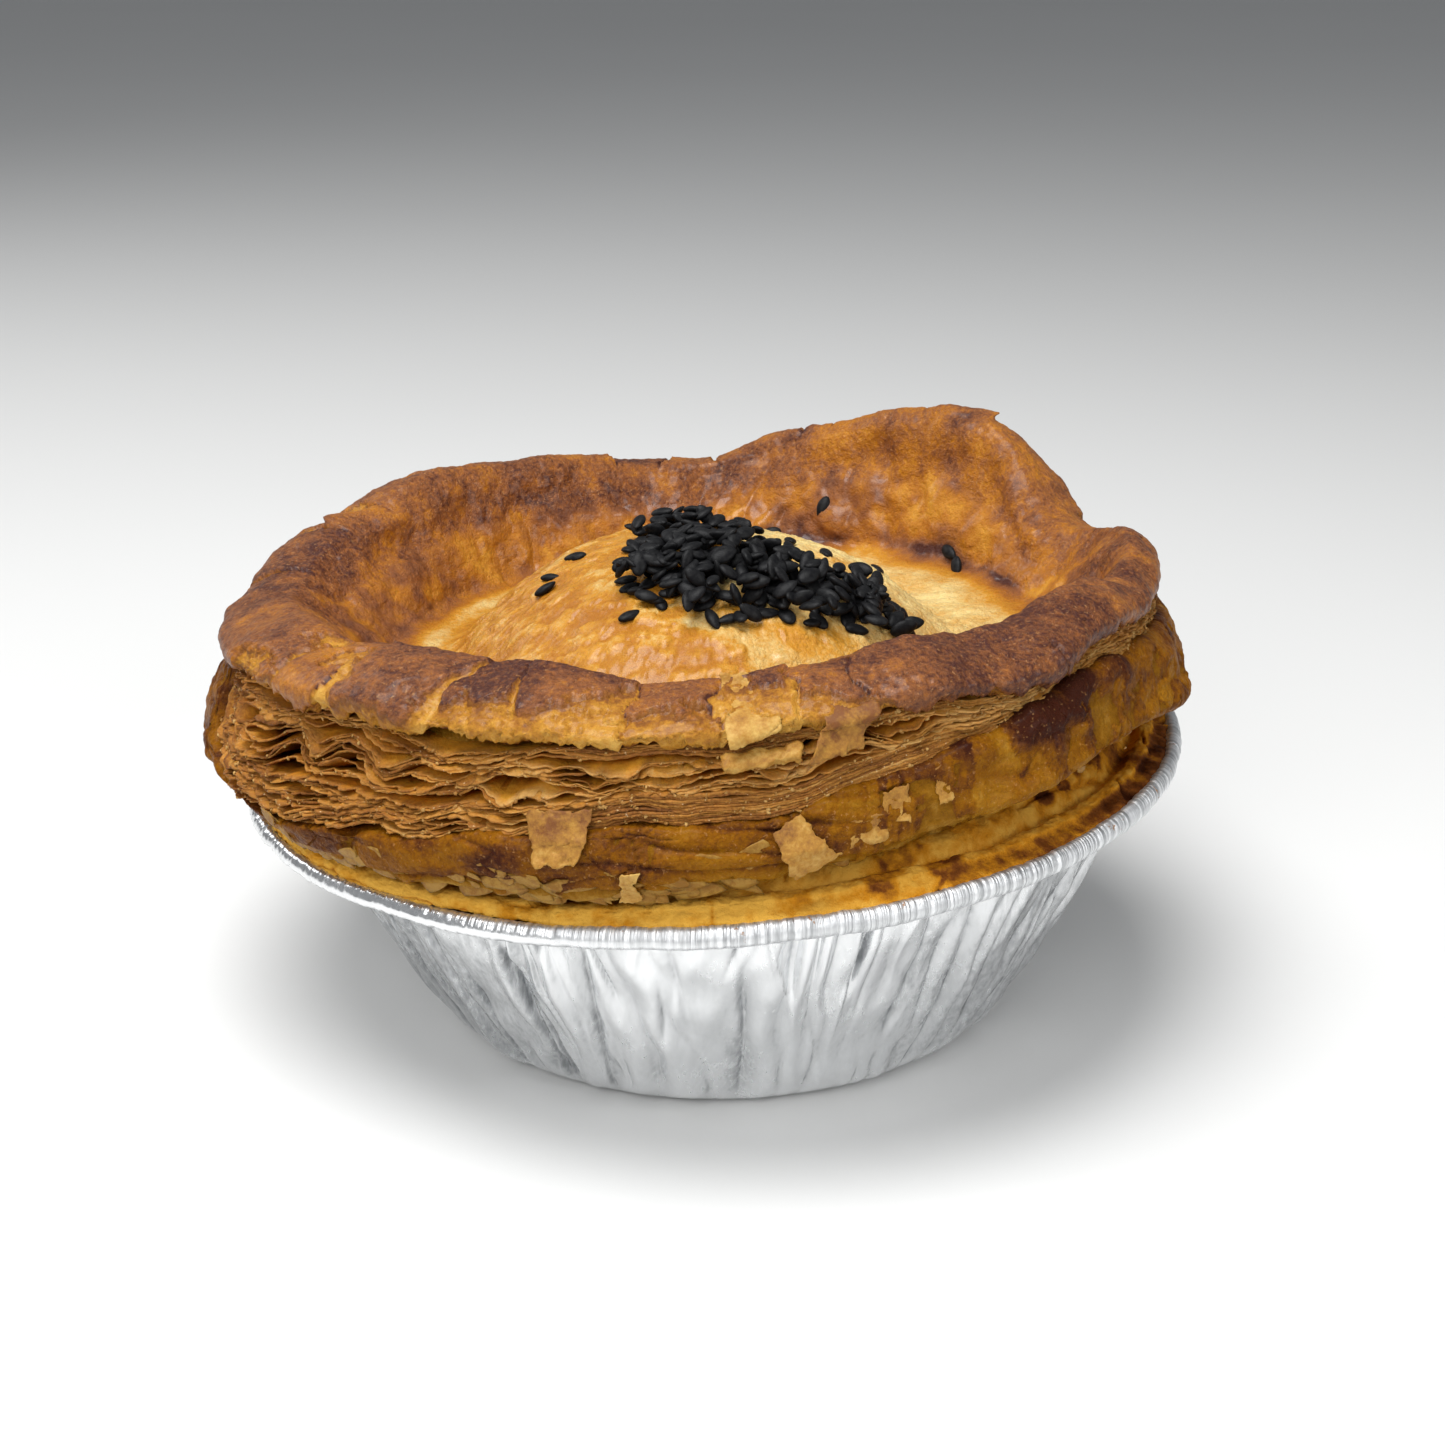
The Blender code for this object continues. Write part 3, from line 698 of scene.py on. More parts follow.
def foil_wrinkle(points, outline, height):
    """How far the foil stands out: uneven pleats, and sharp folds that slant, bend and fade out."""
    chance = np.random.default_rng(5)
    deep = sizes().pleat_depth
    up = height / TIN_CURL_FOOT
    turn = outline.angle[None, :]
    warp = grain(points * (1.0, 1.0, 0.40), 16.0 * MM, 3)
    warp = warp + 0.35 * grain(points * (1.0, 1.0, 0.5), 7.0 * MM, 4)
    phase = turn * PLEATS / math.tau + 1.3 * warp
    pleat = np.floor(phase)
    tag = scrambled(np.stack([pleat % PLEATS, 0 * pleat, 0 * pleat], -1), 6)
    strong, flip = (tag & 1023) / 1023.0, np.where((tag >> 10 & 3) == 0, -1.0, 1.0)
    share = phase - pleat
    bow = np.abs(2.0 * share - 1.0)
    tall = points * (1.0, 1.0, 0.16)
    fades = np.clip(0.85 + 1.0 * grain(tall, 11.0 * MM, 5), 0.15, 1.5)
    stands = (0.63 - bow**1.7) * (0.45 + 0.9 * strong) * fades * flip * (1.0 - bow**8)
    stands = stands + 0.45 * grain(tall, 10.0 * MM, 9) + 0.30 * grain(tall, 2.6 * MM, 14)
    around = 0.94 * (TIN_FLOOR_RADIUS + (TIN_WALL_TOP_RADIUS - TIN_FLOOR_RADIUS) * up)
    for number in range(FOLDS):
        start = chance.uniform(0.0, math.tau)
        slant, sway = chance.normal(0.0, 0.05), chance.normal(0.0, 0.018)
        low, high = np.sort(chance.uniform(-0.4, 1.4, 2))
        if number % 3 == 0:
            low, high, slant = chance.uniform(0.45, 0.8), 1.4, chance.normal(0.0, 0.13)
        wide, tall_fold = chance.uniform(0.5, 1.2) * MM, chance.choice([-1.0, -1.0, 0.7])
        line = start + slant * (1.0 - up) + sway * np.sin(6.0 * up + 40.0 * start)
        away = np.abs((turn - line + math.pi) % math.tau - math.pi) * around / wide
        shape = np.exp(-away) * (1.0 - 0.6 * away)
        fade = ramp(low - 0.10, low + 0.15, up) * (1.0 - ramp(high - 0.15, high + 0.10, up))
        stands = stands + tall_fold * chance.uniform(0.4, 1.0) * shape * fade
    return deep * stands


class PIE_OT_foil_tin(bpy.types.Operator):
    """Makes the crumpled foil tin with its crimped rim."""

    bl_idname = "pie.foil_tin"
    bl_label = "Foil tin"

    def execute(self, context):
        outline = Outline(1680)
        foot = TIN_WALL_FOOT + outline.dent

        def wall(height, inset=0.0):
            share = height / TIN_CURL_FOOT
            return ring(foot + TIN_WALL_REACH * share**TIN_BULGE - inset, height, outline)

        floor_edge = TIN_FLOOR_RADIUS + outline.dent
        rings = [
            ring(0.0, 0.0, outline),
            ring(floor_edge - 4.0 * MM, 0.0, outline),
            ring(floor_edge, 0.15 * MM, outline),
            *(wall(height * MM) for height in (2.6, 8.0, 14.0, 20.0, 26.0, 30.6)),
            ring(TIN_WALL_TOP_RADIUS + 1.6 * MM, TIN_CURL_FOOT - 0.1 * MM, outline),
            ring(TIN_RIM_RADIUS - 1.0 * MM, TIN_CURL_FOOT + 0.1 * MM, outline),
            ring(TIN_RIM_RADIUS, TIN_CURL_FOOT + 1.2 * MM, outline),
            ring(TIN_RIM_RADIUS - 0.5 * MM, TIN_HEIGHT - 0.3 * MM, outline),
            ring(TIN_RIM_RADIUS - 1.5 * MM, TIN_HEIGHT, outline),
            ring(TIN_RIM_RADIUS - 2.5 * MM, TIN_HEIGHT - 0.9 * MM, outline),
            ring(TIN_RIM_RADIUS - 3.3 * MM, TIN_CURL_FOOT + 0.7 * MM, outline),
            ring(TIN_WALL_TOP_RADIUS - 0.2 * MM, TIN_CURL_FOOT + 0.3 * MM, outline),
            wall(29.0 * MM, 1.0 * MM),
            wall(3.0 * MM, 1.0 * MM),
            ring(floor_edge - 1.6 * MM, 0.7 * MM, outline),
            ring(0.0, 0.7 * MM, outline),
        ]
        steps = [1, 1, 3, 6, 7, 7, 7, 6, 3, 3, 2, 3, 2, 2, 2, 1, 1, 1, 1, 1]
        rows = through(rings, steps)
        span = spans(steps)[:, None]
        grid = outline.place(rows)
        # By their numbers, rings 3 to 8 are the wall and rings 10 to 15 the bead
        on_wall = ramp(2.2, 3.6, span) * (1.0 - ramp(7.6, 9.2, span))
        on_bead = ramp(9.6, 10.4, span) * (1.0 - ramp(15.2, 16.0, span))
        around = np.stack([outline.cos, outline.sin, 0.0 * outline.cos], -1) * TIN_RIM_RADIUS
        across = around[None] + (0.0, 0.0, 1.0) * (span * 0.35 * MM)[..., None]
        crimp = creases(across, 2.2 * MM, 21, 2.0) + 0.9 * creases(across, 1.0 * MM, 24, 1.4)
        kink = np.abs(grain(across, 5.0 * MM, 22))
        bead = (-0.10 * crimp - 0.22 * kink + 0.10) * MM
        lift = on_wall * foil_wrinkle(grid, outline, rows[..., 1]) + on_bead * bead
        # fold is painted light for the foil's tone: lighter or darker by which way each flank of a pleat
        # turns, darker in the pleats' hollows, and darker towards the tin's left and right sides, as painted
        # shade.
        fold = 0.5 + 0.5 * np.tanh(1000.0 * (np.roll(lift, -1, axis=1) - np.roll(lift, 1, axis=1)))
        fold = fold * (0.55 + 0.45 * ramp(-0.7, 0.1, lift / sizes().pleat_depth))
        fold = fold * (1.0 - 0.52 * ramp(0.15, 0.75, np.abs(outline.cos)) * on_wall)
        grid = grid + normals(grid) * lift[..., None]
        sag = grain(grid * (1.0, 1.0, 0.0), 14.0 * MM, 23)
        sag = sag * ramp(9.0, 10.0, span) * (1.0 - ramp(16.0, 17.0, span))
        grid[..., 2] += 0.35 * MM * sag
        grid[..., 2] = np.maximum(grid[..., 2], 0.0)
        tin = bun("crumpled_tin", grid, foil_finish(), "foil", fold=fold)
        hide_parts("foil_tin")
        return {"FINISHED"}


# ---------------------------------------------------------------- the short pastry base

# Caramel spots on the base: angle in degrees, radius and size in millimetres, and how dark
BASE_SPOTS = [
    (-107, 56.0, 1.4, 0.5), (-71, 55.8, 3.0, 0.36), (-63, 55.4, 2.6, 0.40), (-67, 53.0, 2.2, 0.36),
    (-42, 51.8, 1.5, 0.55), (-37, 51.4, 1.5, 0.5), (-33, 50.8, 1.4, 0.5), (-28, 51.0, 1.6, 0.4),
    (-50, 50.8, 2.0, 0.3), (-22, 54.0, 4.0, 0.22), (5, 54.0, 8.0, 0.3), (60, 55.0, 5.0, 0.3),
    (150, 55.0, 6.0, 0.3),
]


class PIE_OT_pastry_base(bpy.types.Operator):
    """Makes the short pastry base that fills the tin and shows above its rim."""

    bl_idname = "pie.pastry_base"
    bl_label = "Short pastry base"

    def execute(self, context):
        outline = Outline(1000)
        ledge = Swell(-22, 1.0, 42).at(outline.angle)
        rim = BASE_RADIUS + (0.9 + Swell(-138, 2.3, 44).at(outline.angle)) * MM
        top = TIN_HEIGHT + (1.7 - 0.7 * ledge) * MM + outline.rough(0.35, 6.0)
        foot = TIN_WALL_FOOT + outline.dent - 2.2 * MM
        lowest, on_bead = BASE_RADIUS + (0.3 + 1.5 * ledge) * MM, ramp(57.6, 58.4, rim / MM)
        rings = [
            ring(0.0, 0.9 * MM, outline),
            ring(TIN_FLOOR_RADIUS - 2.6 * MM, 0.9 * MM, outline),
            ring(foot, 3.5 * MM, outline),
            ring(foot + TIN_WALL_REACH * 0.5, 14.0 * MM, outline),
            ring(foot + TIN_WALL_REACH, TIN_CURL_FOOT, outline),
            ring(np.maximum(lowest, rim - 0.5 * MM), TIN_HEIGHT + (1.5 * on_bead - 1.6) * MM, outline),
            ring(np.maximum(58.3 * MM, rim), TIN_HEIGHT + (0.45 * on_bead - 0.32) * MM, outline),
            ring(rim + 0.1 * MM, top - 0.8 * MM, outline),
            ring(rim - 0.5 * MM, top - 0.1 * MM, outline),
            ring(rim - 1.7 * MM, top, outline),
            ring(rim - 3.0 * MM, top - (0.3 + 0.6 * ledge) * MM, outline),
            ring(rim - 4.6 * MM, BASE_HEIGHT - (0.9 * ledge + 0.1) * MM, outline),
            ring(rim - 8.0 * MM, BASE_HEIGHT + 0.1 * MM, outline),
            ring(rim - 14.0 * MM, BASE_HEIGHT, outline),
            ring(0.0, BASE_HEIGHT, outline),
        ]
        steps = [1, 1, 2, 2, 4, 4, 8, 8, 8, 8, 10, 12, 6, 1]
        rows = through(rings, steps)
        span = spans(steps)[:, None]
        grid = outline.place(rows)
        # By their numbers, rings 6 to 11 are the part that shows between the tin and the lid
        shown = ramp(4.0, 5.0, span) * (1.0 - ramp(12.6, 13.4, span))
        crumbly = 0.26 * layers(grid, 3.2 * MM, 5, 31, 0.72)
        wandering = grid + 1.2 * MM * grain(grid, 2.5 * MM, 32)[..., None]
        border, _ = patches(wandering * (1.0, 1.0, 0.25), 13.0 * MM, 33)
        rift = (1.0 - ramp(0.0, 0.022, border)) * ramp(0.05, 0.35, grain(grid, 13.0 * MM, 34))
        grid = grid + normals(grid) * ((crumbly - 0.5 * rift) * MM * shown)[..., None]
        bake = 0.14 + 0.24 * layers(grid, 7.0 * MM, 3, 35) + 0.20 * ledge
        bake = bake + 0.30 * rift + 0.42 * ledge * (1.0 - ramp(7.0, 8.2, span))
        bake = bake + 0.16 * layers(grid, 1.6 * MM, 3, 37)
        for angle, radius, size, dark in BASE_SPOTS:
            way = math.radians(angle)
            spot = np.array([radius * math.cos(way), radius * math.sin(way)]) * MM
            away = np.linalg.norm(grid[..., :2] - spot, axis=-1) / (size * MM)
            away = away * (1.0 + 0.5 * grain(grid, 2.0 * MM, 36))
            bake = bake + dark * (1.0 - ramp(0.55, 1.15, away))
        base = bun("short_crust", grid, short_pastry_finish(), "short_pastry", bake=bake)
        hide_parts("pastry_base")
        return {"FINISHED"}


# ---------------------------------------------------------------- the lid's lower band and core

# Blisters of the lower band: angle in degrees, height, size and rise in millimetres, and how burnt
BLISTERS = [
    (-51.5, 50.4, 5.8, 1.7, 0.44), (-43.5, 51.8, 4.6, 1.3, 0.42), (-60, 48.6, 3.0, 0.6, 0.16),
    (-34, 51.6, 4.0, 0.5, 0.2), (-36, 50.0, 5.0, 0.9, 0.08), (-112.7, 41.7, 4.6, 0.4, 0.26),
    (-20, 47.0, 6.0, 0.8, 0.10), (30, 47.0, 7.0, 0.9, 0.15), (75, 45.5, 6.0, 0.8, 0.12),
    (130, 44.5, 6.0, 0.7, 0.10), (165, 46.0, 5.0, 0.7, 0.16),
]


class PIE_OT_lid_core(bpy.types.Operator):
    """Makes the lid's underside, its smooth lower band and the wall behind its leaves."""

    bl_idname = "pie.lid_core"
    bl_label = "Lid core and lower band"

    def execute(self, context):
        outline = Outline(1200)
        foot, hem_height = outline.foot, outline.hem_height
        hem = outline.side(hem_height)
        flat = np.minimum(hem - 1.6 * MM, BASE_RADIUS + 1.2 * MM)
        head = outline.lip_height - 0.6 * MM
        tall = foot - hem_height
        inner = outline.side(foot) - 6.5 * MM

        def skin(share):
            height = hem_height + share * tall
            return ring(outline.side(height), height, outline)

        rings = [
            ring(0.0, LID_UNDERSIDE, outline),
            ring(flat - 6.0 * MM, LID_UNDERSIDE + 0.2 * MM, outline),
            ring(flat, LID_UNDERSIDE + 0.6 * (hem_height - LID_UNDERSIDE), outline),
            skin(0.0),
            skin(0.22),
            skin(0.48),
            skin(0.74),
            skin(0.93) - (0.1 * MM, 0.0),
            skin(1.0) - (0.8 * MM, -0.05 * MM),
            skin(1.0) - (3.0 * MM, -0.1 * MM),
            ring(inner, foot, outline),
            ring(inner - 0.5 * MM, 0.5 * (foot + head), outline),
            ring(inner, head + 0.4 * MM, outline),
            ring(WELL_FLOOR_RADIUS + 3.0 * MM, CORE_TOP + 0.4 * MM, outline),
            ring(30.0 * MM, CORE_TOP, outline),
            ring(0.0, CORE_TOP, outline),
        ]
        steps = [1, 2, 5, 10, 12, 12, 11, 6, 3, 2, 2, 2, 2, 1, 1]
        rows = through(rings, steps)
        span = spans(steps)[:, None]
        grid = outline.place(rows)
        # By their numbers, ring 3 is the hem and ring 8 the band's top
        shown = ramp(1.6, 2.6, span) * (1.0 - ramp(8.0, 9.0, span))
        away = outline.degrees()
        low = 1.0 - ramp(3.2, 4.3, span)
        right = ramp(-80.0, -66.0, away) * (1.0 - ramp(20.0, 60.0, away))
        long_way = grid * (1.0, 1.0, 2.6)
        ripple = 0.42 * grain(long_way, 9.0 * MM, 41) + 0.22 * grain(long_way, 4.0 * MM, 42)
        swollen = 0.5 * grain(grid, 13.0 * MM, 43)
        fine = 0.14 * layers(grid, 1.6 * MM, 3, 44)
        wandering = grid.copy()
        wandering[..., 2] *= 1.9 - 1.5 * right
        wandering = wandering + 0.8 * MM * grain(grid, 3.0 * MM, 45)[..., None]
        border, tag = patches(wandering, 6.5 * MM, 46)
        split = (1.0 - ramp(0.0, 0.025, border)) * ramp(0.0, 0.25, grain(grid, 9.0 * MM, 47) + 0.25 * right)
        strata = creases(grid * (0.16, 0.16, 1.0), 2.4 * MM, 53, 2.5) * (1.0 - 0.8 * right)
        lift = (ripple + swollen + fine - (0.35 - 0.15 * right) * split - 0.45 * strata) * MM
        bake = 0.58 + 0.20 * grain(long_way, 9.0 * MM, 48) + 0.12 * grain(long_way, 3.5 * MM, 39)
        bake = bake + (0.14 + 0.26 * right) * (tag - 0.5)
        bake = bake - 0.22 * low - 0.06 * right + 0.10 * right * ramp(5.0, 6.6, span)
        bake = bake + Swell(182, 0.12, 30).at(outline.angle)
        for angle, height, size, rise_mm, burn in BLISTERS:
            number = outline.nearest(math.radians(angle))
            radius = outline.side(np.full(outline.count, height * MM))[number]
            spot = outline.place(np.full((1, outline.count, 2), (radius, height * MM)))[0, number]
            near = np.linalg.norm((grid - spot) * (1.0, 1.0, 1.3), axis=-1) / (size * MM)
            near = near * (1.0 + 0.35 * grain(grid, 3.0 * MM, 49))
            lift = lift + rise_mm * MM * np.exp(-(near**2) * 1.4)
            bake = bake + burn * (1.0 - ramp(0.40, 1.05, near))
        bake = bake + (0.12 - 0.08 * right) * split + 0.16 * strata
        torn = grid * (1.0, 1.0, 0.55)
        border, shard = patches(torn + 0.7 * MM * grain(grid, 1.4 * MM, 51)[..., None], 2.6 * MM, 52)
        flaked = 0.7 * layers(torn, 5.0 * MM, 2, 50, 0.5) + 0.55 * (shard - 0.5)
        bare = 0.9 * flaked - 0.46 + (0.86 - 0.54 * right) * low + 0.24 * right + 0.20 * (tag - 0.5)
        bare = np.where(span > 9.0, -1.0, bare - 0.9 * ramp(6.6, 7.4, span))
        lift_off = 0.28 * MM * (1.0 - ramp(-0.03, 0.03, bare)) * shown
        bake = np.where(span > 9.0, 0.22, bake)
        grid = grid + normals(grid) * (lift * shown + lift_off)[..., None]
        finish = skin_finish("band_skin", BAND_LAYERS, mottle_and_glints=0.24, shine=0.03, glaze=0.05, stops=BAND_SKIN)
        band = bun("lower_band", grid, finish, "puff_pastry", bake=bake, bare=bare)
        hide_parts("puff_lid")
        return {"FINISHED"}


# ---------------------------------------------------------------- the leaves of the flaky side

LEAF_OFFSETS = np.array([0.0, 0.25, 0.8, 2.2, 6.0]) * MM
LEAF_GROUPS = ("lowest_leaves", "lower_leaves", "upper_leaves", "highest_leaves")
# The stack's zones, from its foot: how far up their leaves go by number, how much of the height they take,
# and how tightly they lie at the front
LEAF_ZONES = [(0.48, 0.36, 1.0), (0.82, 0.51, 0.0), (1.01, 0.13, 1.0)]


def packed_share(outline, tight):
    """How tightly the leaves of a zone lie at each angle: 1 is a dense bundle, 0 leaves room for pockets."""
    away = outline.degrees()
    front = ramp(-112.0, -100.0, away) * (1.0 - ramp(-60.0, -50.0, away))
    right = ramp(-52.0, -40.0, away) * (1.0 - ramp(40.0, 80.0, away))
    return np.clip(front * tight + 0.5 * right, 0.0, 1.0)


def leaf_heights(outline, count, places):
    """Height of each leaf's underside, and of the stack's head, at each place in plan. Leaves never cross:
    their distances are all above zero, mostly tiny, and wide where a pocket has opened."""
    shares, leaf = [], 0
    side_on = 1.0 - ramp(-130.0, -113.0, outline.degrees())
    for number, (last, tall, tight) in enumerate(LEAF_ZONES):
        packed = packed_share(outline, tight)
        gaps = []
        while leaf <= count and leaf / (count + 1) < last:
            wide = grain(places + (0.0, 0.0, 0.031 * leaf), 9.0 * MM, 60 + leaf)
            fine = grain(places + (0.0, 0.0, 0.017 * leaf), 3.4 * MM, 160 + leaf)
            gap = np.exp((10.0 * wide + 1.2 * fine) * (1.0 - 0.8 * packed) * (1.0 - 0.46 * side_on))
            gaps.append(gap / (1.0 + gap / (14.0 - 7.0 * side_on)) + 0.34)
            leaf += 1
        gaps = np.array(gaps)
        uneven = 1.0 + 0.35 * grain(places + (0.0, 0.0, 0.3 * number), 14.0 * MM, 58 + number)
        shares.append(gaps / gaps.sum(axis=0) * tall * uneven)
    shares = np.concatenate(shares)
    share = np.cumsum(shares, axis=0) / shares.sum(axis=0)
    foot = outline.foot + 0.05 * MM
    slit = (0.25 + swelled([(-119, 1.4, 9), (-62, 0.6, 8)], outline.angle)) * MM
    stack = foot + share * np.maximum(outline.lip_height - slit - foot, 0.4 * MM)
    return np.concatenate([np.broadcast_to(foot, stack[:1].shape), stack])


class PIE_OT_leaves(bpy.types.Operator):
    """Makes the open leaves of the lid's side, in groups from the lowest to the highest."""

    bl_idname = "pie.leaves"
    bl_label = "Leaves of the side"

    def execute(self, context):
        outline = Outline(1200)
        count = sizes().leaf_count
        thickest = sizes().leaf_thickness
        radius = outline.belly[None, :] - LEAF_OFFSETS[:, None]
        flat = np.stack([radius * outline.cos, radius * outline.sin, np.zeros_like(radius)], -1)
        heights = leaf_heights(outline, count, flat)
        common = 0.20 * MM * grain(flat, 8.0 * MM, 55) + 0.10 * MM * grain(flat, 1.8 * MM, 56)
        hidden = outline.closed_left()
        grids, depths, bakes = [], [], []
        for leaf in range(1, count + 1):
            under, here, over = heights[leaf - 1 : leaf + 2]
            below, above = here - under, over - here
            tight = next(tight for last, _, tight in LEAF_ZONES if leaf / (count + 1) < last)
            packed = packed_share(outline, tight)
            edge = flat[:1] + (0.0, 0.0, 0.013 * leaf)
            nearby = flat[:1] + (0.0, 0.0, 0.0022 * leaf)
            torn = 0.70 + 0.8 * np.clip(grain(nearby, 6.0 * MM, 200), -0.6, 1.0)
            torn = torn + 0.5 * grain(edge, 3.0 * MM, 240 + leaf) + 0.55 * grain(edge, 1.1 * MM, 280 + leaf)
            torn = torn + 0.5 * ramp(0.15, 0.30, grain(edge, 1.9 * MM, 320 + leaf))
            smooth = 0.85 + 0.5 * grain(nearby, 9.0 * MM, 201) + 0.26 * grain(edge, 1.0 * MM, 340 + leaf)
            recess = (torn[0] + (smooth - torn)[0] * packed + 2.0 * hidden) * MM
            rim = outline.side(here[0]) - np.maximum(recess, -0.45 * MM)
            up_wall = np.clip((here - WELL_FLOOR_HEIGHT) / (outline.top - WELL_FLOOR_HEIGHT), 0.0, 1.0)
            behind = outline.floor + (outline.crest + 1.0 * MM - outline.floor) * up_wall**0.8 + 2.2 * MM
            reach = np.maximum(rim[None, :] - LEAF_OFFSETS[:, None], np.minimum(behind, rim - 1.2 * MM))
            merged = 1.0 - ramp(0.28 * MM, 0.55 * MM, above)
            thick = np.minimum(thickest, 0.8 * above) * (1.0 - merged) + 1.02 * above * merged
            room = np.minimum(below, above)
            curl = 0.8 * grain(edge, 4.0 * MM, 360 + leaf)[0] + 0.6 * grain(edge, 1.2 * MM, 400 + leaf)[0]
            near_edge = np.clip(1.0 - LEAF_OFFSETS / (2.4 * MM), 0.0, 1.0)[:, None] ** 2
            bend = 0.35 * np.minimum(room, 0.8 * MM) * curl * near_edge
            middle = here + 0.5 * thick + common + bend
            upper = np.stack([reach, middle + 0.5 * thick], -1)
            lower = np.stack([reach, middle - 0.5 * thick], -1)
            grids.append(outline.place(np.concatenate([lower[::-1], upper])))
            depth = np.broadcast_to((LEAF_OFFSETS / (3.0 * MM))[:, None], here.shape)
            depths.append(np.concatenate([depth[::-1], depth]))
            toast = 0.36 + 0.26 * packed + 0.34 * grain(edge, 10.0 * MM, 480 + leaf)[0]
            toast = toast + swelled([(190, 0.24, 26), (-135, 0.12, 24), (-50, -0.18, 26)], outline.angle)
            bakes.append(np.broadcast_to(toast, (2 * len(LEAF_OFFSETS), outline.count)))
        finish = leaf_finish()
        each = math.ceil(count / len(LEAF_GROUPS))
        for number, name in enumerate(LEAF_GROUPS):
            part = slice(number * each, (number + 1) * each)
            piece = hoop(name, grids[part], finish, "puff_pastry", depth=depths[part], bake=bakes[part])
            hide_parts("puff_lid")
        return {"FINISHED"}


# ---------------------------------------------------------------- the folded rim and the well

# Bare patches of the roll, where its skin has flaked: angle in degrees, share up its outer face, size in
# degrees and share, and how bare
BARE_PATCHES = [
    (-147, 1.05, 5, 0.22, 0.75), (-139, 0.80, 5, 0.20, 0.70), (-152, 0.35, 6, 0.22, 0.6),
    (-103, 0.66, 2.5, 0.2, 0.4), (-86, 0.95, 6, 0.10, 0.45), (60, 0.3, 12, 0.3, 0.6),
    (110, 0.4, 14, 0.3, 0.6), (20, 0.3, 8, 0.25, 0.5),
]
# How far up the roll's outer face the skin has gone: angle in degrees, share and spread
SKIN_EDGES = [(-96, 0.72, 14), (-119, 0.24, 9), (-77, 0.42, 8), (-140, 0.20, 12), (90, 0.25, 50)]
# Plates that the roll's skin has cracked into, and the width of one in millimetres
PLATES = 34
PLATE_WIDTH = 10.5
# Thin tips that the crest ends in: angle and spread in degrees, place along the control rings, and how far
# they reach to the right and up in millimetres
CREST_TIPS = [(43, 2.2, 5.15, 3.4, -0.2), (157, 3.0, 5.0, -3.8, 0.5)]
# Where the rim is browner or paler: angle in degrees, how much and spread in degrees
BROWNINGS = [
    (-110, 0.13, 32), (92, 0.05, 30), (-50, 0.30, 24), (-150, -0.03, 18), (8, -0.08, 14), (52, -0.08, 22),
    (150, 0.02, 30), (182, 0.02, 24),
]


def upper_rings(outline):
    """Control rings over the lid's top: round the folded rim, down the well's wall and over the dome.
    By number, 2 is the lip, 5 the crest, 10 the foot of the well's wall and 17 the top of the dome."""
    lip, crest, foot, top, floor = outline.lip, outline.crest, outline.lip_height, outline.top, outline.floor
    deep = top - WELL_FLOOR_HEIGHT
    rings = [
        ring(lip - 5.0 * MM, foot + 0.8 * MM, outline),
        ring(lip - 1.6 * MM, foot + 0.3 * MM, outline),
        ring(lip, foot, outline),
        ring(lip + 0.7 * MM, foot + 0.35 * (top - foot), outline),
        ring(lip - 0.3 * (lip - crest), foot + 0.78 * (top - foot), outline),
        ring(crest + 0.2 * (lip - crest), top - 0.2 * MM, outline),
        ring(crest - 1.3 * MM, top - 0.5 * MM, outline),
        ring(floor + 0.62 * (crest - floor) + outline.blister, WELL_FLOOR_HEIGHT + 0.66 * deep, outline),
        ring(floor + 0.40 * (crest - floor), WELL_FLOOR_HEIGHT + 0.45 * deep, outline),
        ring(floor + 0.20 * (crest - floor) - outline.blister, WELL_FLOOR_HEIGHT + 0.24 * deep, outline),
        ring(floor + 0.02 * (crest - floor), WELL_FLOOR_HEIGHT + 0.05 * deep, outline),
    ]
    for share in (0.92, 0.82, 0.70, 0.56, 0.40, 0.22, 0.0):
        radius = floor * share
        rings.append(ring(radius, dome_height(radius * outline.cos, radius * outline.sin), outline))
    return rings


def upper_surface(outline, steps):
    """Points, outward directions and place along the control rings, for each row of the lid's top."""
    grid = outline.place(through(upper_rings(outline), steps))
    return grid, normals(grid), spans(steps)[:, None]


def stroked(grid):
    """The places pulled out along the dome's brush strokes, so that noise read there runs along them."""
    x, y, z = grid[..., 0], grid[..., 1], grid[..., 2]
    return np.stack([0.62 * x + 0.30 * y, 1.25 * y - 0.2 * x, z], -1)


def dome_flakes(grid):
    """Where the dome's top leaf has puffed into short pale flakes: 0 between them and 1 on them."""
    return ramp(-0.10, 0.34, layers(stroked(grid), 2.8 * MM, 4, 91, 0.62))


def dome_share(span):
    """0 on the rim and the well's wall, 1 on the dome."""
    return ramp(9.6, 11.2, span)


def top_relief(grid, span):
    """Swells, folds and fine wrinkles of the rim, the well's wall and the dome."""
    inside = ramp(5.4, 6.4, span)
    on_dome = dome_share(span)
    swollen = 0.75 * grain(grid, 11.0 * MM, 70) + 0.55 * grain(grid, 5.4 * MM, 71) * (0.4 + inside)
    upright = grid * (1.0, 1.0, 0.50)
    folds = creases(upright, 8.0 * MM, 72, 2.0) * ramp(-0.2, 0.3, grain(grid, 19.0 * MM, 73))
    folds = folds + 0.30 * creases(upright, 3.6 * MM, 78, 2.0)
    fine = 0.18 * layers(grid, 2.2 * MM, 3, 74, 0.65)
    wall = swollen - 0.6 * inside * folds + fine
    flaky = ramp(11.2, 12.4, span)
    dome = 0.28 * grain(grid, 7.0 * MM, 90) + 0.30 * flaky * dome_flakes(grid)
    dome = dome + (0.05 + 0.10 * flaky) * layers(grid, 1.8 * MM, 3, 92, 0.65)
    return (wall * (1.0 - on_dome) + dome * on_dome) * MM


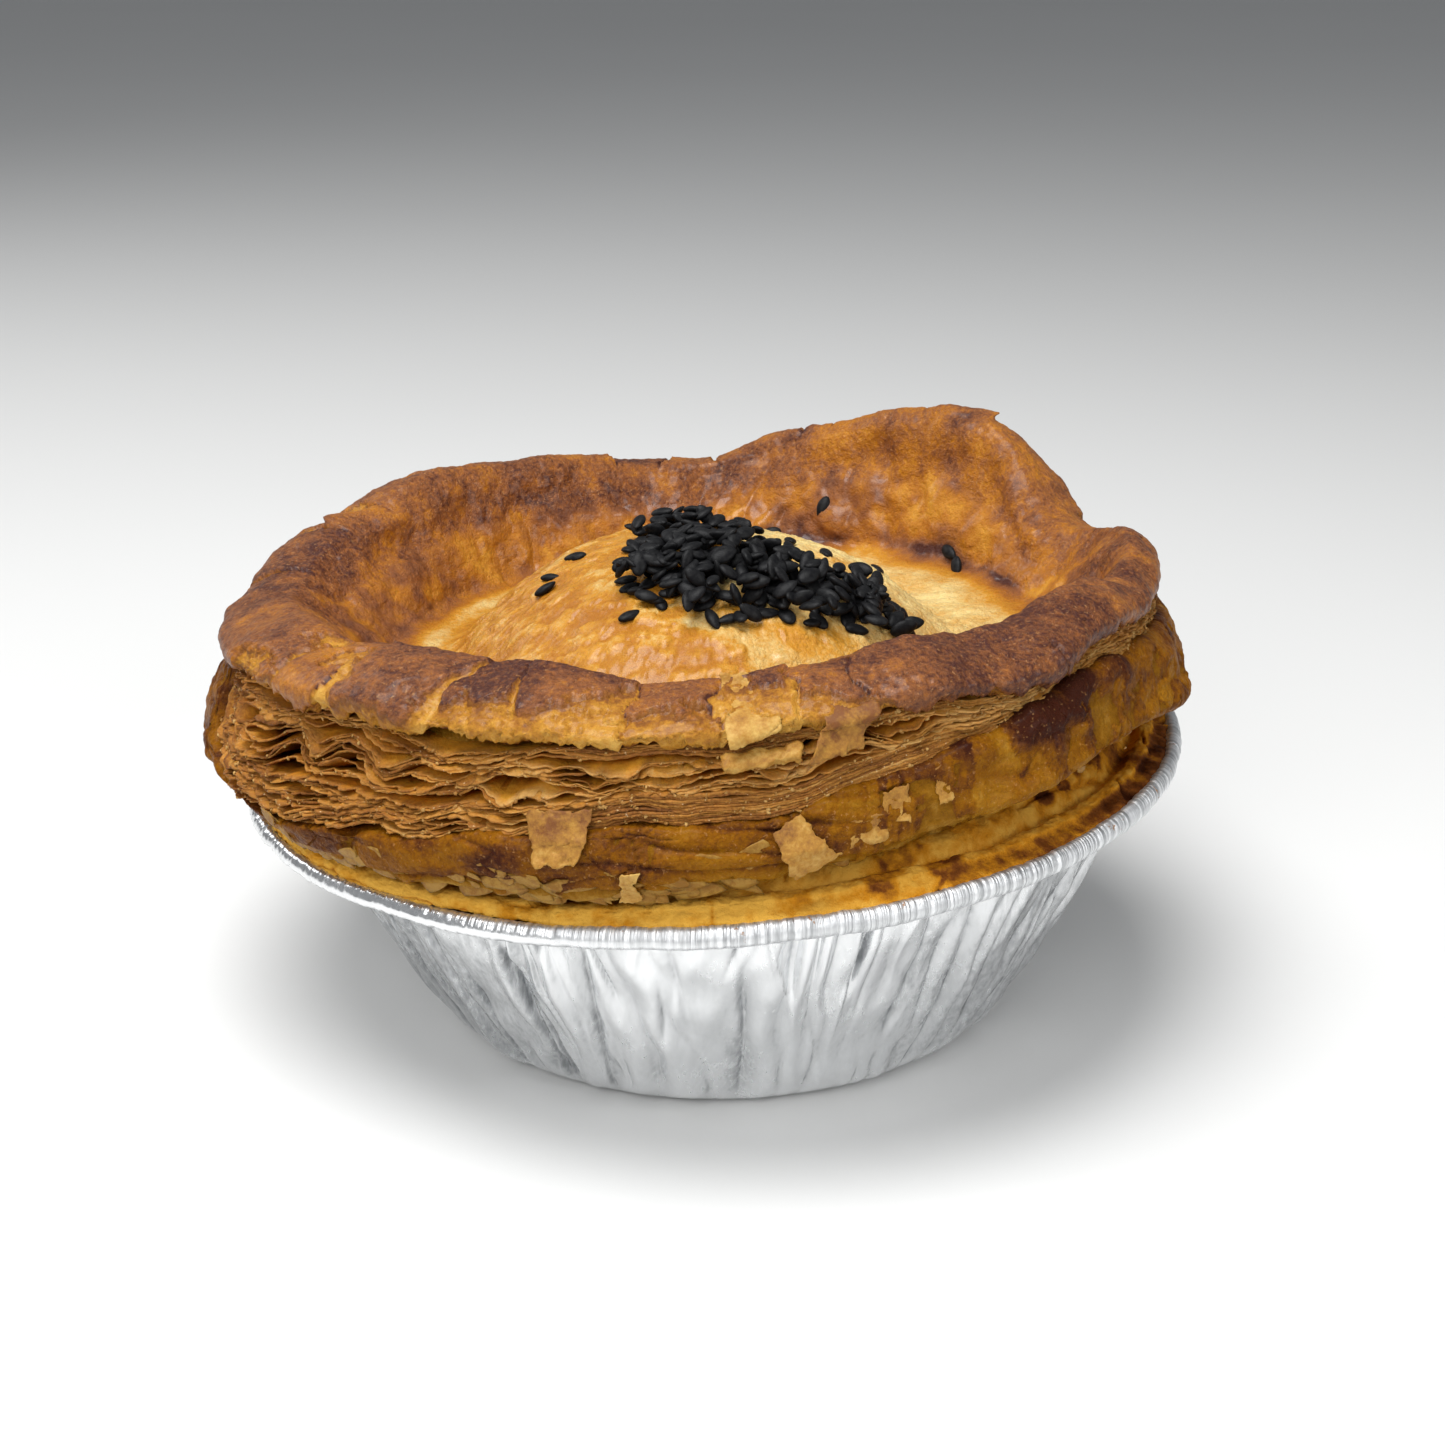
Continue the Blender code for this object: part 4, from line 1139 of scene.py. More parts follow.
def wall_bake(grid, span, outline):
    """How brown the rim and the well's wall are, from 0 to 1."""
    crown = ramp(2.6, 4.2, span)
    wall = ramp(5.6, 6.8, span)
    deep = ramp(7.0, 9.6, span)
    bake = 0.72 + 0.03 * crown - 0.05 * wall - 0.24 * deep
    upright = grid * (1.0, 1.0, 0.6)
    mottle = 0.20 * grain(upright, 6.0 * MM, 75) + 0.15 * layers(grid, 3.0 * MM, 2, 76, 0.6)
    mottle = mottle * (0.8 + 0.5 * wall + Swell(-45, 0.6, 26).at(outline.angle)[None, :])
    bake = bake + swelled(BROWNINGS, outline.angle)[None, :] + mottle + 0.10 * grain(grid, 15.0 * MM, 77)
    return np.minimum(bake, 0.86 + 0.2 * (bake - 0.86))


def skin_plates(outline, grid):
    """Distance to the nearest crack of the skin in millimetres, and two numbers for each plate."""
    wander = 1.7 * grain(grid * (1.0, 1.0, 0.8), 5.0 * MM, 80) + 0.5 * grain(grid, 1.5 * MM, 81)
    turn = outline.angle[None, :] * PLATES / math.tau + wander / PLATE_WIDTH

    def border(number):
        cell = np.stack([number % PLATES, 0 * number, 0 * number], -1)
        return number + (scrambled(cell, 7) & 1023) / 1023.0 * 0.6

    whole = np.floor(turn)
    before = turn < border(whole)
    number = np.where(before, whole - 1.0, whole)
    apart = np.minimum(turn - border(number), border(number + 1.0) - turn) * PLATE_WIDTH
    tag = scrambled(np.stack([number % PLATES, 0 * number, 0 * number], -1), 9)
    return apart, (tag & 1023) / 1023.0, (tag >> 10 & 1023) / 1023.0


class PIE_OT_folded_rim(bpy.types.Operator):
    """Makes the thick folded rim, its brown skin cracked into plates over paler leaves."""

    bl_idname = "pie.folded_rim"
    bl_label = "Folded rim"

    def execute(self, context):
        outline = Outline(1200)
        steps = [2, 5, 13, 17, 14, 8, 9, 9, 1, 1, 1, 1, 1, 1, 1, 1, 1]
        grid, out, span = upper_surface(outline, steps)
        away = outline.degrees()
        up = (span - 2.0) / 3.0
        apart, high, loose = skin_plates(outline, grid)
        cracked = ramp(-158.0, -148.0, away) * (1.0 - ramp(-72.0, -60.0, away)) + ramp(40.0, 60.0, away)
        jagged = 0.13 * layers(grid * (1.0, 1.0, 0.6), 3.0 * MM, 4, 84, 0.62)
        edge = 0.08 + swelled(SKIN_EDGES, outline.angle) + 0.52 * (high - 0.5) * cracked
        gone = edge - up + jagged
        gape = (3.0 * np.clip(1.25 - up, 0.0, 1.0) * loose**1.1 + 1.1 * jagged) * cracked - 0.2
        bare = np.maximum(gone, (gape - apart) / 3.0)
        for angle, place, wide, tall, strength in BARE_PATCHES:
            patch = strength * np.exp(-(((away[None, :] - angle) / wide) ** 2) - ((up - place) / tall) ** 2)
            bare = np.maximum(bare, patch - 0.35 + 2.0 * jagged)
        outer = ramp(1.4, 2.0, span) * (1.0 - ramp(5.2, 5.9, span))
        bare = np.clip(bare, -0.6, 0.7) * outer - 0.6 * (1.0 - outer)
        skin = sizes().skin_thickness
        step = skin * (1.0 - ramp(-0.02, 0.01, bare))
        step = step + 0.7 * skin * (1.0 - ramp(0.30, 0.34, bare + 3.0 * jagged))
        rope = ramp(-68.0, -56.0, away) * (1.0 - ramp(20.0, 40.0, away))
        groove = (1.0 - ramp(0.0, 0.30, apart)) * cracked * (1.0 - ramp(1.2, 1.7, up))
        step = step + (0.70 * (loose - 0.5) * cracked - 0.45 * groove) * MM
        lift = top_relief(grid, span) + step * outer + 0.30 * MM * rope * grain(grid, 3.2 * MM, 87) * outer
        lift = lift - 0.12 * MM * ramp(7.2, 8.0, span)
        shown = ramp(0.9, 1.7, span)
        grid = grid + out * (lift * shown)[..., None]
        for angle, wide, place, right_mm, up_mm in CREST_TIPS:
            tip = np.exp(-(((away - angle) / wide) ** 2)) * np.exp(-(((span - place) / 0.50) ** 2))
            grid = grid + tip[..., None] * np.array([right_mm, 0.0, up_mm]) * MM
        thin = grid * (1.0, 1.0, 0.1)
        ragged = 0.55 * grain(thin, 2.4 * MM, 85) + 0.4 * grain(thin, 0.9 * MM, 86)
        ragged = ragged + 0.5 * (high - 0.5) * cracked
        grid[..., 2] += 1.45 * MM * ragged * ramp(0.8, 1.9, span) * (1.0 - ramp(2.2, 3.0, span))
        kept = int(np.searchsorted(spans(steps), 8.0)) + 1
        grid, bare = grid[:kept], bare[:kept]
        near_edge = np.exp(-np.clip(-bare, 0.0, 1.0) / 0.04)
        bake = wall_bake(grid, span[:kept], outline) + 0.24 * ((high - 0.5) * cracked * outer)[:kept]
        # Along the cracks between the plates the skin is darkened, as painted shade in the cracks.
        bake = bake - 0.13 * near_edge + 0.42 * (groove * outer)[:kept] + 0.02 * rope
        inner = grid[-1:] * (1.05, 1.05, 1.0) - (0.0, 0.0, 1.2 * MM)
        start = grid[:1] * (0.99, 0.99, 1.0) + (0.0, 0.0, 0.6 * MM)
        grid = np.concatenate([grid, inner, start])
        bake, bare = (np.concatenate([value, value[-1:], value[:1]]) for value in (bake, bare))
        finish = skin_finish("rim_skin", ROLL_LAYERS, mottle_and_glints=0.27, shine=0.22, glaze=0.18)
        rim = hoop("folded_rim", [grid], finish, "puff_pastry", bake=[bake], bare=[bare])
        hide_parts("puff_lid")
        return {"FINISHED"}


class PIE_OT_well(bpy.types.Operator):
    """Makes the well inside the rim and the dome that the filling has pushed up."""

    bl_idname = "pie.well"
    bl_label = "Well and dome"

    def execute(self, context):
        outline = Outline(880)
        steps = [1, 1, 1, 1, 1, 1, 4, 8, 10, 10, 8, 8, 10, 11, 12, 12, 14]
        grid, out, span = upper_surface(outline, steps)
        on_dome = dome_share(span)
        lift = top_relief(grid, span) - 0.12 * MM * (1.0 - ramp(7.0, 7.8, span))
        x, y = grid[..., 0] / MM, grid[..., 1] / MM
        bend = np.interp(y, (-40.0, -28.5, -25.4, -18.0, 10.0), (4.3, 3.8, -3.2, -2.0, 6.0))
        seam = x - bend + 1.0 * grain(grid, 3.0 * MM, 93)
        pale = ramp(-0.5, 0.5, seam) * on_dome
        lift = lift - 0.22 * MM * pale * (1.0 - ramp(6.0, 14.0, seam))
        grid = grid + out * lift[..., None]
        flecks = 0.09 - 0.20 * dome_flakes(grid)
        gold = 0.34 + 0.10 * grain(grid, 8.0 * MM, 94) + ramp(11.2, 12.4, span) * flecks
        right = ramp(-6.0, 14.0, x)
        # Towards the front the cream is darkened, as painted shade near the heap of seeds.
        cream = 0.06 + 0.12 * grain(grid, 7.0 * MM, 96) + 0.10 * ramp(8.0, -26.0, y)
        wander = span + 0.25 * grain(grid, 5.0 * MM, 99)
        amber_foot = np.exp(-(((wander - 10.0) / (0.75 + 0.55 * right)) ** 2))
        amber_foot = amber_foot * (0.8 + grain(grid, 9.0 * MM, 97))
        left = 1.0 - ramp(-24.0, -8.0, x)
        low_left = ramp(9.3, 10.0, wander) * (1.0 - ramp(10.5, 11.3, wander)) * left
        dome_bake = gold * (1.0 - pale) + cream * pale
        bake = wall_bake(grid, span, outline) * (1.0 - on_dome) + dome_bake * on_dome
        strip = ramp(10.4, 10.9, wander) * (1.0 - ramp(11.3, 12.0, wander)) * left
        line = np.exp(-(((wander - 9.8) / 0.26) ** 2)) * right * ramp(-20.0, 0.0, y)
        bake = bake + (0.02 + 0.28 * right) * amber_foot + 0.16 * line + 0.15 * low_left - 0.19 * strip
        kept = int(np.searchsorted(spans(steps), 6.9))
        first = grid[kept : kept + 1]
        under = [
            ring(0.0, WELL_UNDERSIDE, outline),
            ring(34.0 * MM, WELL_UNDERSIDE, outline),
            ring(outline.floor + 2.5 * MM, WELL_UNDERSIDE + 0.6 * MM, outline),
        ]
        edge = first * (1.03, 1.03, 1.0) - (0.0, 0.0, 1.0 * MM)
        grid = np.concatenate([outline.place(np.array(under)), edge, grid[kept:]])
        bake = np.concatenate([bake[kept : kept + 1]] * 4 + [bake[kept:]])
        bare = np.full(bake.shape, -1.0)
        finish = skin_finish("well_skin", ROLL_LAYERS, mottle_and_glints=0.12, shine=0.22, glaze=0.36)
        well = bun("well_and_dome", grid, finish, "puff_pastry", bake=bake, bare=bare)
        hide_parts("puff_lid")
        return {"FINISHED"}


# ---------------------------------------------------------------- flakes that stand off

# Large flakes that lie on the lid's outside or stand off it: name, angle in degrees, height, stand-off at
# the root and at the tip and bulge in millimetres, how toasted, and corners (right and up of the root)
FLAKE_THICKNESS = 0.16 * MM
STANDING_FLAKES = [
    ("hanging", -105.7, 47.8, 0.2, 1.3, 0.3, 0.48, ((-3.4, 0.0), (3.6, 0.2), (2.3, -4.9), (-2.0, -5.6))),
    ("pointed", -81.8, 45.4, 0.3, 2.2, 0.4, 0.36, ((-1.9, -0.8), (1.0, 0.3), (5.2, -4.3), (0.4, -7.0))),
    ("crinkled", -86, 58.8, 0.3, 1.3, 0.8, 0.22, ((-2.6, 0.3), (2.6, 0.4), (2.8, -3.7), (-1.8, -4.7))),
    ("flap", -73.6, 58.7, 0.3, 1.5, 0.5, 0.66, ((-2.6, 0.2), (3.0, 0.8), (-0.2, -6.6), (-5.0, -7.2))),
    ("upright", -98.6, 37.3, 0.4, 0.9, 0.2, 0.16, ((-1.0, 0.0), (1.0, 0.0), (1.2, 4.4), (-0.5, 3.9))),
    ("rolled_leaf", -84.7, 52.6, 0.1, 0.3, 1.1, 0.26, ((-4.2, 0.3), (4.2, 0.6), (4.1, -1.3), (-4.0, -1.5))),
    ("peeled_1", -70, 45.6, 0.1, 0.4, 0.1, 0.36, ((-1.5, 1.0), (1.5, 1.5), (1.2, -2.4), (-1.3, -2.0))),
    ("peeled_2", -64.5, 47.2, 0.1, 0.4, 0.1, 0.42, ((-1.0, 1.0), (1.2, 1.2), (1.0, -2.2), (-0.8, -2.8))),
    ("peeled_3", -73.8, 43.0, 0.1, 0.7, 0.1, 0.34, ((-1.6, 1.4), (2.2, 1.6), (2.4, -1.4), (-1.6, -1.8))),
    ("back", 100, 46.0, 0.1, 1.3, 0.3, 0.45, ((-3.0, 0.0), (3.0, 0.2), (2.4, -3.8), (-2.2, -3.4))),
    ("back_2", 70, 48.0, 0.1, 1.3, 0.4, 0.40, ((-2.6, 0.0), (2.4, 0.2), (2.0, -3.6), (-2.0, -3.0))),
    ("right", 15, 46.0, 0.1, 1.2, 0.3, 0.40, ((-2.8, 0.0), (2.8, 0.2), (2.2, -3.6), (-2.4, -3.2))),
    ("left_back", 140, 46.0, 0.1, 1.2, 0.3, 0.40, ((-2.8, 0.0), (2.8, 0.2), (2.4, -3.4), (-2.0, -3.6))),
]


def flake_mesh(outline, name, angle, height, gap, lift, fold, toast, corners, seed):
    """A thin, torn and curled leaf laid over the lid's outside, between its four corners."""
    sheet = bmesh.new()
    bmesh.ops.create_grid(sheet, x_segments=30, y_segments=30, size=0.5)
    points = np.array([vertex.co for vertex in sheet.verts])
    across, along = points[:, 0] + 0.5, 0.5 - points[:, 1]
    shares = ((1 - across) * (1 - along), across * (1 - along), across * along, (1 - across) * along)
    flat = sum(share[:, None] * np.array(corner) for share, corner in zip(shares, corners)) * MM
    reach = 0.5 * (np.abs(flat[:, 1]).max() + np.ptp(flat[:, 1]))
    spot = np.concatenate([flat, np.full((len(flat), 1), 0.01 * seed)], axis=1)
    torn = np.stack([layers(spot, 2.0 * MM, 4, 500 + axis, 0.6) for axis in (0, 1)], -1)
    flat = flat + torn * 0.40 * MM
    away = np.clip(np.abs(flat[:, 1]) / reach, 0.0, 1.2)
    crinkle = 0.32 * layers(spot, 2.2 * MM, 3, 540, 0.5) * (0.3 + away)
    bulge = fold * 4.0 * along * (1.0 - along)
    high = height * MM + flat[:, 1]
    root = math.radians(angle)
    turn = root + flat[:, 0] / outline.outside(np.array(height * MM), outline.nearest(root))
    pick = outline.nearest(turn)
    radius = outline.outside(high, pick) + (gap + (lift - gap) * away**1.5 + crinkle + bulge) * MM
    x, y = radius * np.cos(turn), radius * np.sin(turn)
    for vertex, place in zip(sheet.verts, zip(x, y, high + LEAN * x)):
        vertex.co = place
    mesh = bpy.data.meshes.new(name)
    sheet.to_mesh(mesh)
    sheet.free()
    add_values(mesh, {"toast": toast * (1.25 - 0.6 * along)})
    return mesh


def joined(name, objects, material):
    """One plain mesh of the evaluated objects, which are then removed."""
    graph = bpy.context.evaluated_depsgraph_get()
    body = bmesh.new()
    for made in objects:
        part = bpy.data.meshes.new_from_object(made.evaluated_get(graph))
        part.transform(made.matrix_world)
        body.from_mesh(part)
        bpy.data.meshes.remove(part)
    bmesh.ops.recalc_face_normals(body, faces=body.faces[:])
    mesh = bpy.data.meshes.new(name)
    body.to_mesh(mesh)
    body.free()
    mesh.shade_smooth()
    for made in objects:
        bpy.data.objects.remove(made)
    return finished(name, mesh, material)


class PIE_OT_standing_flakes(bpy.types.Operator):
    """Makes the large flakes that stand off the lid's side and roll."""

    bl_idname = "pie.standing_flakes"
    bl_label = "Standing flakes"

    def execute(self, context):
        outline = Outline(1440)
        made = []
        for seed, (name, *shape) in enumerate(STANDING_FLAKES):
            mesh = flake_mesh(outline, name, *shape, seed)
            flake = bpy.data.objects.new(name, mesh)
            context.scene.collection.objects.link(flake)
            thick = flake.modifiers.new("thickness", "SOLIDIFY")
            thick.thickness = FLAKE_THICKNESS
            thick.offset = 0.0
            made.append(flake)
        context.view_layer.update()
        finish = flake_finish("flake", (0.56, 0.35, 0.095), (0.38, 0.185, 0.030), (0.17, 0.060, 0.014))
        piece = joined("standing_flakes", made, finish)
        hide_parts("puff_lid")
        return {"FINISHED"}


# ---------------------------------------------------------------- scattered things, by Geometry Nodes


class Recipe:
    """A Geometry Nodes tree under construction."""

    def __init__(self, name):
        self.tree = bpy.data.node_groups.new(name, "GeometryNodeTree")
        self.tree.interface.new_socket("Geometry", in_out="INPUT", socket_type="NodeSocketGeometry")
        self.tree.interface.new_socket("Geometry", in_out="OUTPUT", socket_type="NodeSocketGeometry")
        self.start = self.tree.nodes.new("NodeGroupInput")
        self.end = self.tree.nodes.new("NodeGroupOutput")
        self.settings = {}

    def setting(self, name, kind, value):
        """A named input of the tree; returns its socket."""
        made = self.tree.interface.new_socket(name, in_out="INPUT", socket_type=f"NodeSocket{kind}")
        self.settings[made.identifier] = value
        return self.start.outputs[name]

    def node(self, kind, inputs=(), **settings):
        made = self.tree.nodes.new(kind)
        for key, value in settings.items():
            setattr(made, key, value)
        for key, value in dict(inputs).items():
            if isinstance(value, bpy.types.NodeSocket):
                self.tree.links.new(value, made.inputs[key])
            else:
                made.inputs[key].default_value = value
        return made

    def run(self, name, holder, material):
        """Ends the tree, evaluates it on the holder and leaves a plain mesh in its place."""
        modifier = holder.modifiers.new(name, "NODES")
        modifier.node_group = self.tree
        for identifier, value in self.settings.items():
            modifier[identifier] = value
        graph = bpy.context.evaluated_depsgraph_get()
        mesh = bpy.data.meshes.new_from_object(holder.evaluated_get(graph))
        holder.modifiers.remove(modifier)
        bpy.data.objects.remove(holder)
        mesh.shade_smooth()
        return finished(name, mesh, material)


def scatter(name, places, ups, turns, scales, build_shape, settings, material, slot):
    """Lays one shape on each place, turned about the surface's normal, with the instances realized."""
    cloud = bpy.data.meshes.new(name + "_places")
    cloud.from_pydata([tuple(place) for place in places], [], [])
    tilt = [
        (up.to_track_quat("Z", "Y").to_matrix() @ Matrix.Rotation(turn, 3, "Z")).to_euler()
        for up, turn in zip(ups, turns)
    ]
    lay = cloud.attributes.new("lay", "FLOAT_VECTOR", "POINT")
    lay.data.foreach_set("vector", np.array(tilt, np.float32).ravel())
    size = cloud.attributes.new("size", "FLOAT_VECTOR", "POINT")
    size.data.foreach_set("vector", np.array(scales, np.float32).ravel())
    holder = bpy.data.objects.new(name + "_places", cloud)
    bpy.context.scene.collection.objects.link(holder)
    recipe = Recipe(name)
    sockets = {key: recipe.setting(key, kind, value) for key, (kind, value) in settings.items()}
    shape = build_shape(recipe, sockets)
    read_lay = recipe.node("GeometryNodeInputNamedAttribute", {"Name": "lay"}, data_type="FLOAT_VECTOR")
    read_size = recipe.node("GeometryNodeInputNamedAttribute", {"Name": "size"}, data_type="FLOAT_VECTOR")
    inputs = {
        "Points": recipe.start.outputs["Geometry"],
        "Instance": shape,
        "Rotation": read_lay.outputs["Attribute"],
        "Scale": read_size.outputs["Attribute"],
    }
    laid = recipe.node("GeometryNodeInstanceOnPoints", inputs)
    real = recipe.node("GeometryNodeRealizeInstances", {"Geometry": laid.outputs["Instances"]})
    inputs = {"Geometry": real.outputs["Geometry"], "Material": material}
    painted = recipe.node("GeometryNodeSetMaterial", inputs)
    recipe.tree.links.new(painted.outputs["Geometry"], recipe.end.inputs["Geometry"])
    return recipe.run(name, holder, material)


def drop_shape(recipe, sockets):
    """A flattened drop, narrow at one end: a ball whose points are moved by formula."""
    ball = recipe.node("GeometryNodeMeshIcoSphere", {"Radius": 0.5, "Subdivisions": 3})
    place = recipe.node("GeometryNodeInputPosition").outputs["Position"]
    parts = recipe.node("ShaderNodeSeparateXYZ", {0: place})
    ahead = recipe.node("ShaderNodeMath", {0: parts.outputs["X"], 1: 0.0}, operation="MAXIMUM").outputs[0]
    narrow = recipe.node("ShaderNodeMath", {0: ahead, 1: -0.45, 2: 1.0}, operation="MULTIPLY_ADD").outputs[0]
    out = []
    for axis, name in (("X", "Length"), ("Y", "Width"), ("Z", "Thickness")):
        inputs = {0: parts.outputs[axis], 1: sockets[name]}
        value = recipe.node("ShaderNodeMath", inputs, operation="MULTIPLY").outputs[0]
        if axis != "X":
            value = recipe.node("ShaderNodeMath", {0: value, 1: narrow}, operation="MULTIPLY").outputs[0]
        out.append(value)
    moved = recipe.node("ShaderNodeCombineXYZ", dict(zip("XYZ", out))).outputs[0]
    inputs = {"Geometry": ball.outputs["Mesh"], "Position": moved}
    return recipe.node("GeometryNodeSetPosition", inputs).outputs["Geometry"]


def crumb_shape(recipe, sockets):
    """A lumpy bit of pastry: a small ball pushed about by noise."""
    ball = recipe.node("GeometryNodeMeshIcoSphere", {"Radius": 0.5, "Subdivisions": 2})
    place = recipe.node("GeometryNodeInputPosition").outputs["Position"]
    inputs = {"Vector": place, "Scale": 2.3, "W": sockets["Seed"]}
    lumps = recipe.node("ShaderNodeTexNoise", inputs, noise_dimensions="4D").outputs["Color"]
    centred = recipe.node("ShaderNodeVectorMath", {0: lumps, 1: (0.5, 0.5, 0.5)}, operation="SUBTRACT")
    push = recipe.node("ShaderNodeVectorMath", {0: centred.outputs[0], "Scale": 0.9}, operation="SCALE")
    inputs = {"Geometry": ball.outputs["Mesh"], "Offset": push.outputs[0]}
    lumpy = recipe.node("GeometryNodeSetPosition", inputs)
    scale = recipe.node("ShaderNodeCombineXYZ", {axis: sockets["Size"] for axis in "XYZ"}).outputs[0]
    inputs = {"Geometry": lumpy.outputs["Geometry"], "Scale": scale}
    return recipe.node("GeometryNodeTransform", inputs).outputs["Geometry"]


# The heap of seeds: middle, half length and half width in millimetres, turn in degrees, and how many seeds
DRIFTS = [
    ((-1.8, -5.8), 8.4, 8.2, 105, 100),
    ((0.3, -17.4), 9.6, 8.2, 0, 122),
    ((10.5, -17.2), 8.2, 6.2, 0, 86),
    ((18.6, -15.4), 5.5, 3.6, 12, 34),
    ((-6.2, -16.2), 4.6, 4.8, 0, 32),
]
# Places of the strays round the heap, in millimetres
STRAY_SEEDS = [
    (-17.1, -2.4), (-20.0, -6.6), (-20.4, -9.8), (-10.0, -18.9), (-9.6, -23.5), (3.5, 3.0), (21.0, 3.5),
    (9.8, -0.9), (17.7, -22.0), (21.8, -18.5), (14.2, -2.4),
]
# Seeds that cling to the well's wall: angle in degrees and share up it
WALL_SEEDS = [(68, 0.36), (37, 0.12), (34, 0.04), (78, 0.14)]
# How the seeds lie, in seed lengths and thicknesses: how near one must be to lift the next, how far it lifts
# it, how high the lowest lie and how far the heap grows above them
SEED_REACH, SEED_LIFT, SEED_GROUND, SEED_HEAP = 0.66, 0.66, 0.30, 3.2


def dome_point(x, y):
    """Point and upward direction of the dome at this place in plan."""
    step = 0.5 * MM

    def high(right, back):
        return float(dome_height(np.array(right), np.array(back))) + LEAN * right

    slope_x = high(x + step, y) - high(x - step, y)
    slope_y = high(x, y + step) - high(x, y - step)
    return Vector((x, y, high(x, y))), Vector((-slope_x, -slope_y, 2.0 * step)).normalized()


class PIE_OT_seeds(bpy.types.Operator):
    """Strews the black sesame: a heap on the dome, and strays round it."""

    bl_idname = "pie.seeds"
    bl_label = "Black sesame"

    def execute(self, context):
        chance = np.random.default_rng(11)
        size = sizes()
        plan = []
        for middle, half_length, half_width, turn, count in DRIFTS:
            way = math.radians(turn)
            for _ in range(count):
                reach, around = chance.random() ** 0.58, chance.uniform(0.0, math.tau)
                along, aside = half_length * reach * math.cos(around), half_width * reach * math.sin(around)
                x = middle[0] + along * math.cos(way) - aside * math.sin(way)
                y = middle[1] + along * math.sin(way) + aside * math.cos(way)
                plan.append((x, y))
        chance.shuffle(plan)
        places, ups, turns, scales, laid = [], [], [], [], []
        for x, y in [*plan, *STRAY_SEEDS]:
            spot, up = dome_point(x * MM, y * MM)
            ground = SEED_GROUND * size.seed_thickness
            rest = ground
            for other, high in laid:
                apart = (other - spot).length / (SEED_REACH * size.seed_length)
                if apart < 1.0:
                    rest = max(rest, high + SEED_LIFT * size.seed_thickness * (1.0 - apart * apart))
            rest = min(rest, ground + SEED_HEAP * size.seed_thickness)
            laid.append((spot, rest))
            heaped = min(1.0, (rest - ground) / size.seed_thickness)
            wobble = Vector(chance.normal(0.0, 0.10 + 0.34 * heaped, 3))
            places.append(spot + up * rest)
            ups.append((up + wobble).normalized())
            turns.append(chance.uniform(0.0, math.tau))
            scales.append(Vector((1.0, chance.uniform(0.88, 1.12), 1.0)) * chance.uniform(0.86, 1.1))
        outline = Outline(720)
        for angle, share in WALL_SEEDS:
            way = math.radians(angle)
            number = outline.nearest(way)
            deep = outline.top[number] - WELL_FLOOR_HEIGHT
            radius = outline.floor[number] + share * 0.94 * (outline.crest - outline.floor)[number] - 0.9 * MM
            x = radius * math.cos(way)
            places.append(Vector((x, radius * math.sin(way), WELL_FLOOR_HEIGHT + share * deep + LEAN * x)))
            ups.append(Vector((-math.cos(way), -math.sin(way), 0.5)).normalized())
            turns.append(chance.uniform(0.0, math.tau))
            scales.append(Vector((1.0, 1.0, 1.0)))
        settings = {
            "Length": ("Float", size.seed_length),
            "Width": ("Float", size.seed_width),
            "Thickness": ("Float", size.seed_thickness),
        }
        lay = (places, ups, turns, scales)
        seeds = scatter("sesame_seeds", *lay, drop_shape, settings, seed_finish(), "puff_pastry")
        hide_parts("puff_lid")
        return {"FINISHED"}


# Crumbs on each group of leaves, and scales on the band
CRUMBS_TO_GROUP = 480
SCALE_COUNT = 120


class PIE_OT_crumbs(bpy.types.Operator):
    """Scatters crumbs along the torn edges of the leaves."""

    bl_idname = "pie.crumbs"
    bl_label = "Crumbs"

    def execute(self, context):
        chance = np.random.default_rng(23)
        places, ups, turns, scales = [], [], [], []
        for name in LEAF_GROUPS:
            mesh = bpy.data.objects[name].data
            points = np.empty(len(mesh.vertices) * 3)
            mesh.vertices.foreach_get("co", points)
            depth = np.empty(len(mesh.vertices))
            mesh.attributes["depth"].data.foreach_get("value", depth)
            edge = points.reshape(-1, 3)[depth < 0.01]
            for spot in edge[chance.integers(0, len(edge), CRUMBS_TO_GROUP)]:
                out = Vector((spot[0], spot[1], 0.0)).normalized()
                places.append(Vector(spot) + out * 0.06 * MM)
                ups.append((out + Vector(chance.normal(0.0, 0.5, 3))).normalized())
                turns.append(chance.uniform(0.0, math.tau))
                scales.append(chance.uniform((0.5, 0.35, 0.25), (1.2, 0.8, 0.6)) * chance.uniform(0.3, 0.85))
        settings = {"Size": ("Float", sizes().crumb_size), "Seed": ("Float", 3.0)}
        finish = flake_finish("crumb", (0.52, 0.31, 0.10), (0.32, 0.15, 0.032))
        lay = (places, ups, turns, scales)
        crumbs = scatter("leaf_crumbs", *lay, crumb_shape, settings, finish, "puff_pastry")
        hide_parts("puff_lid")
        return {"FINISHED"}


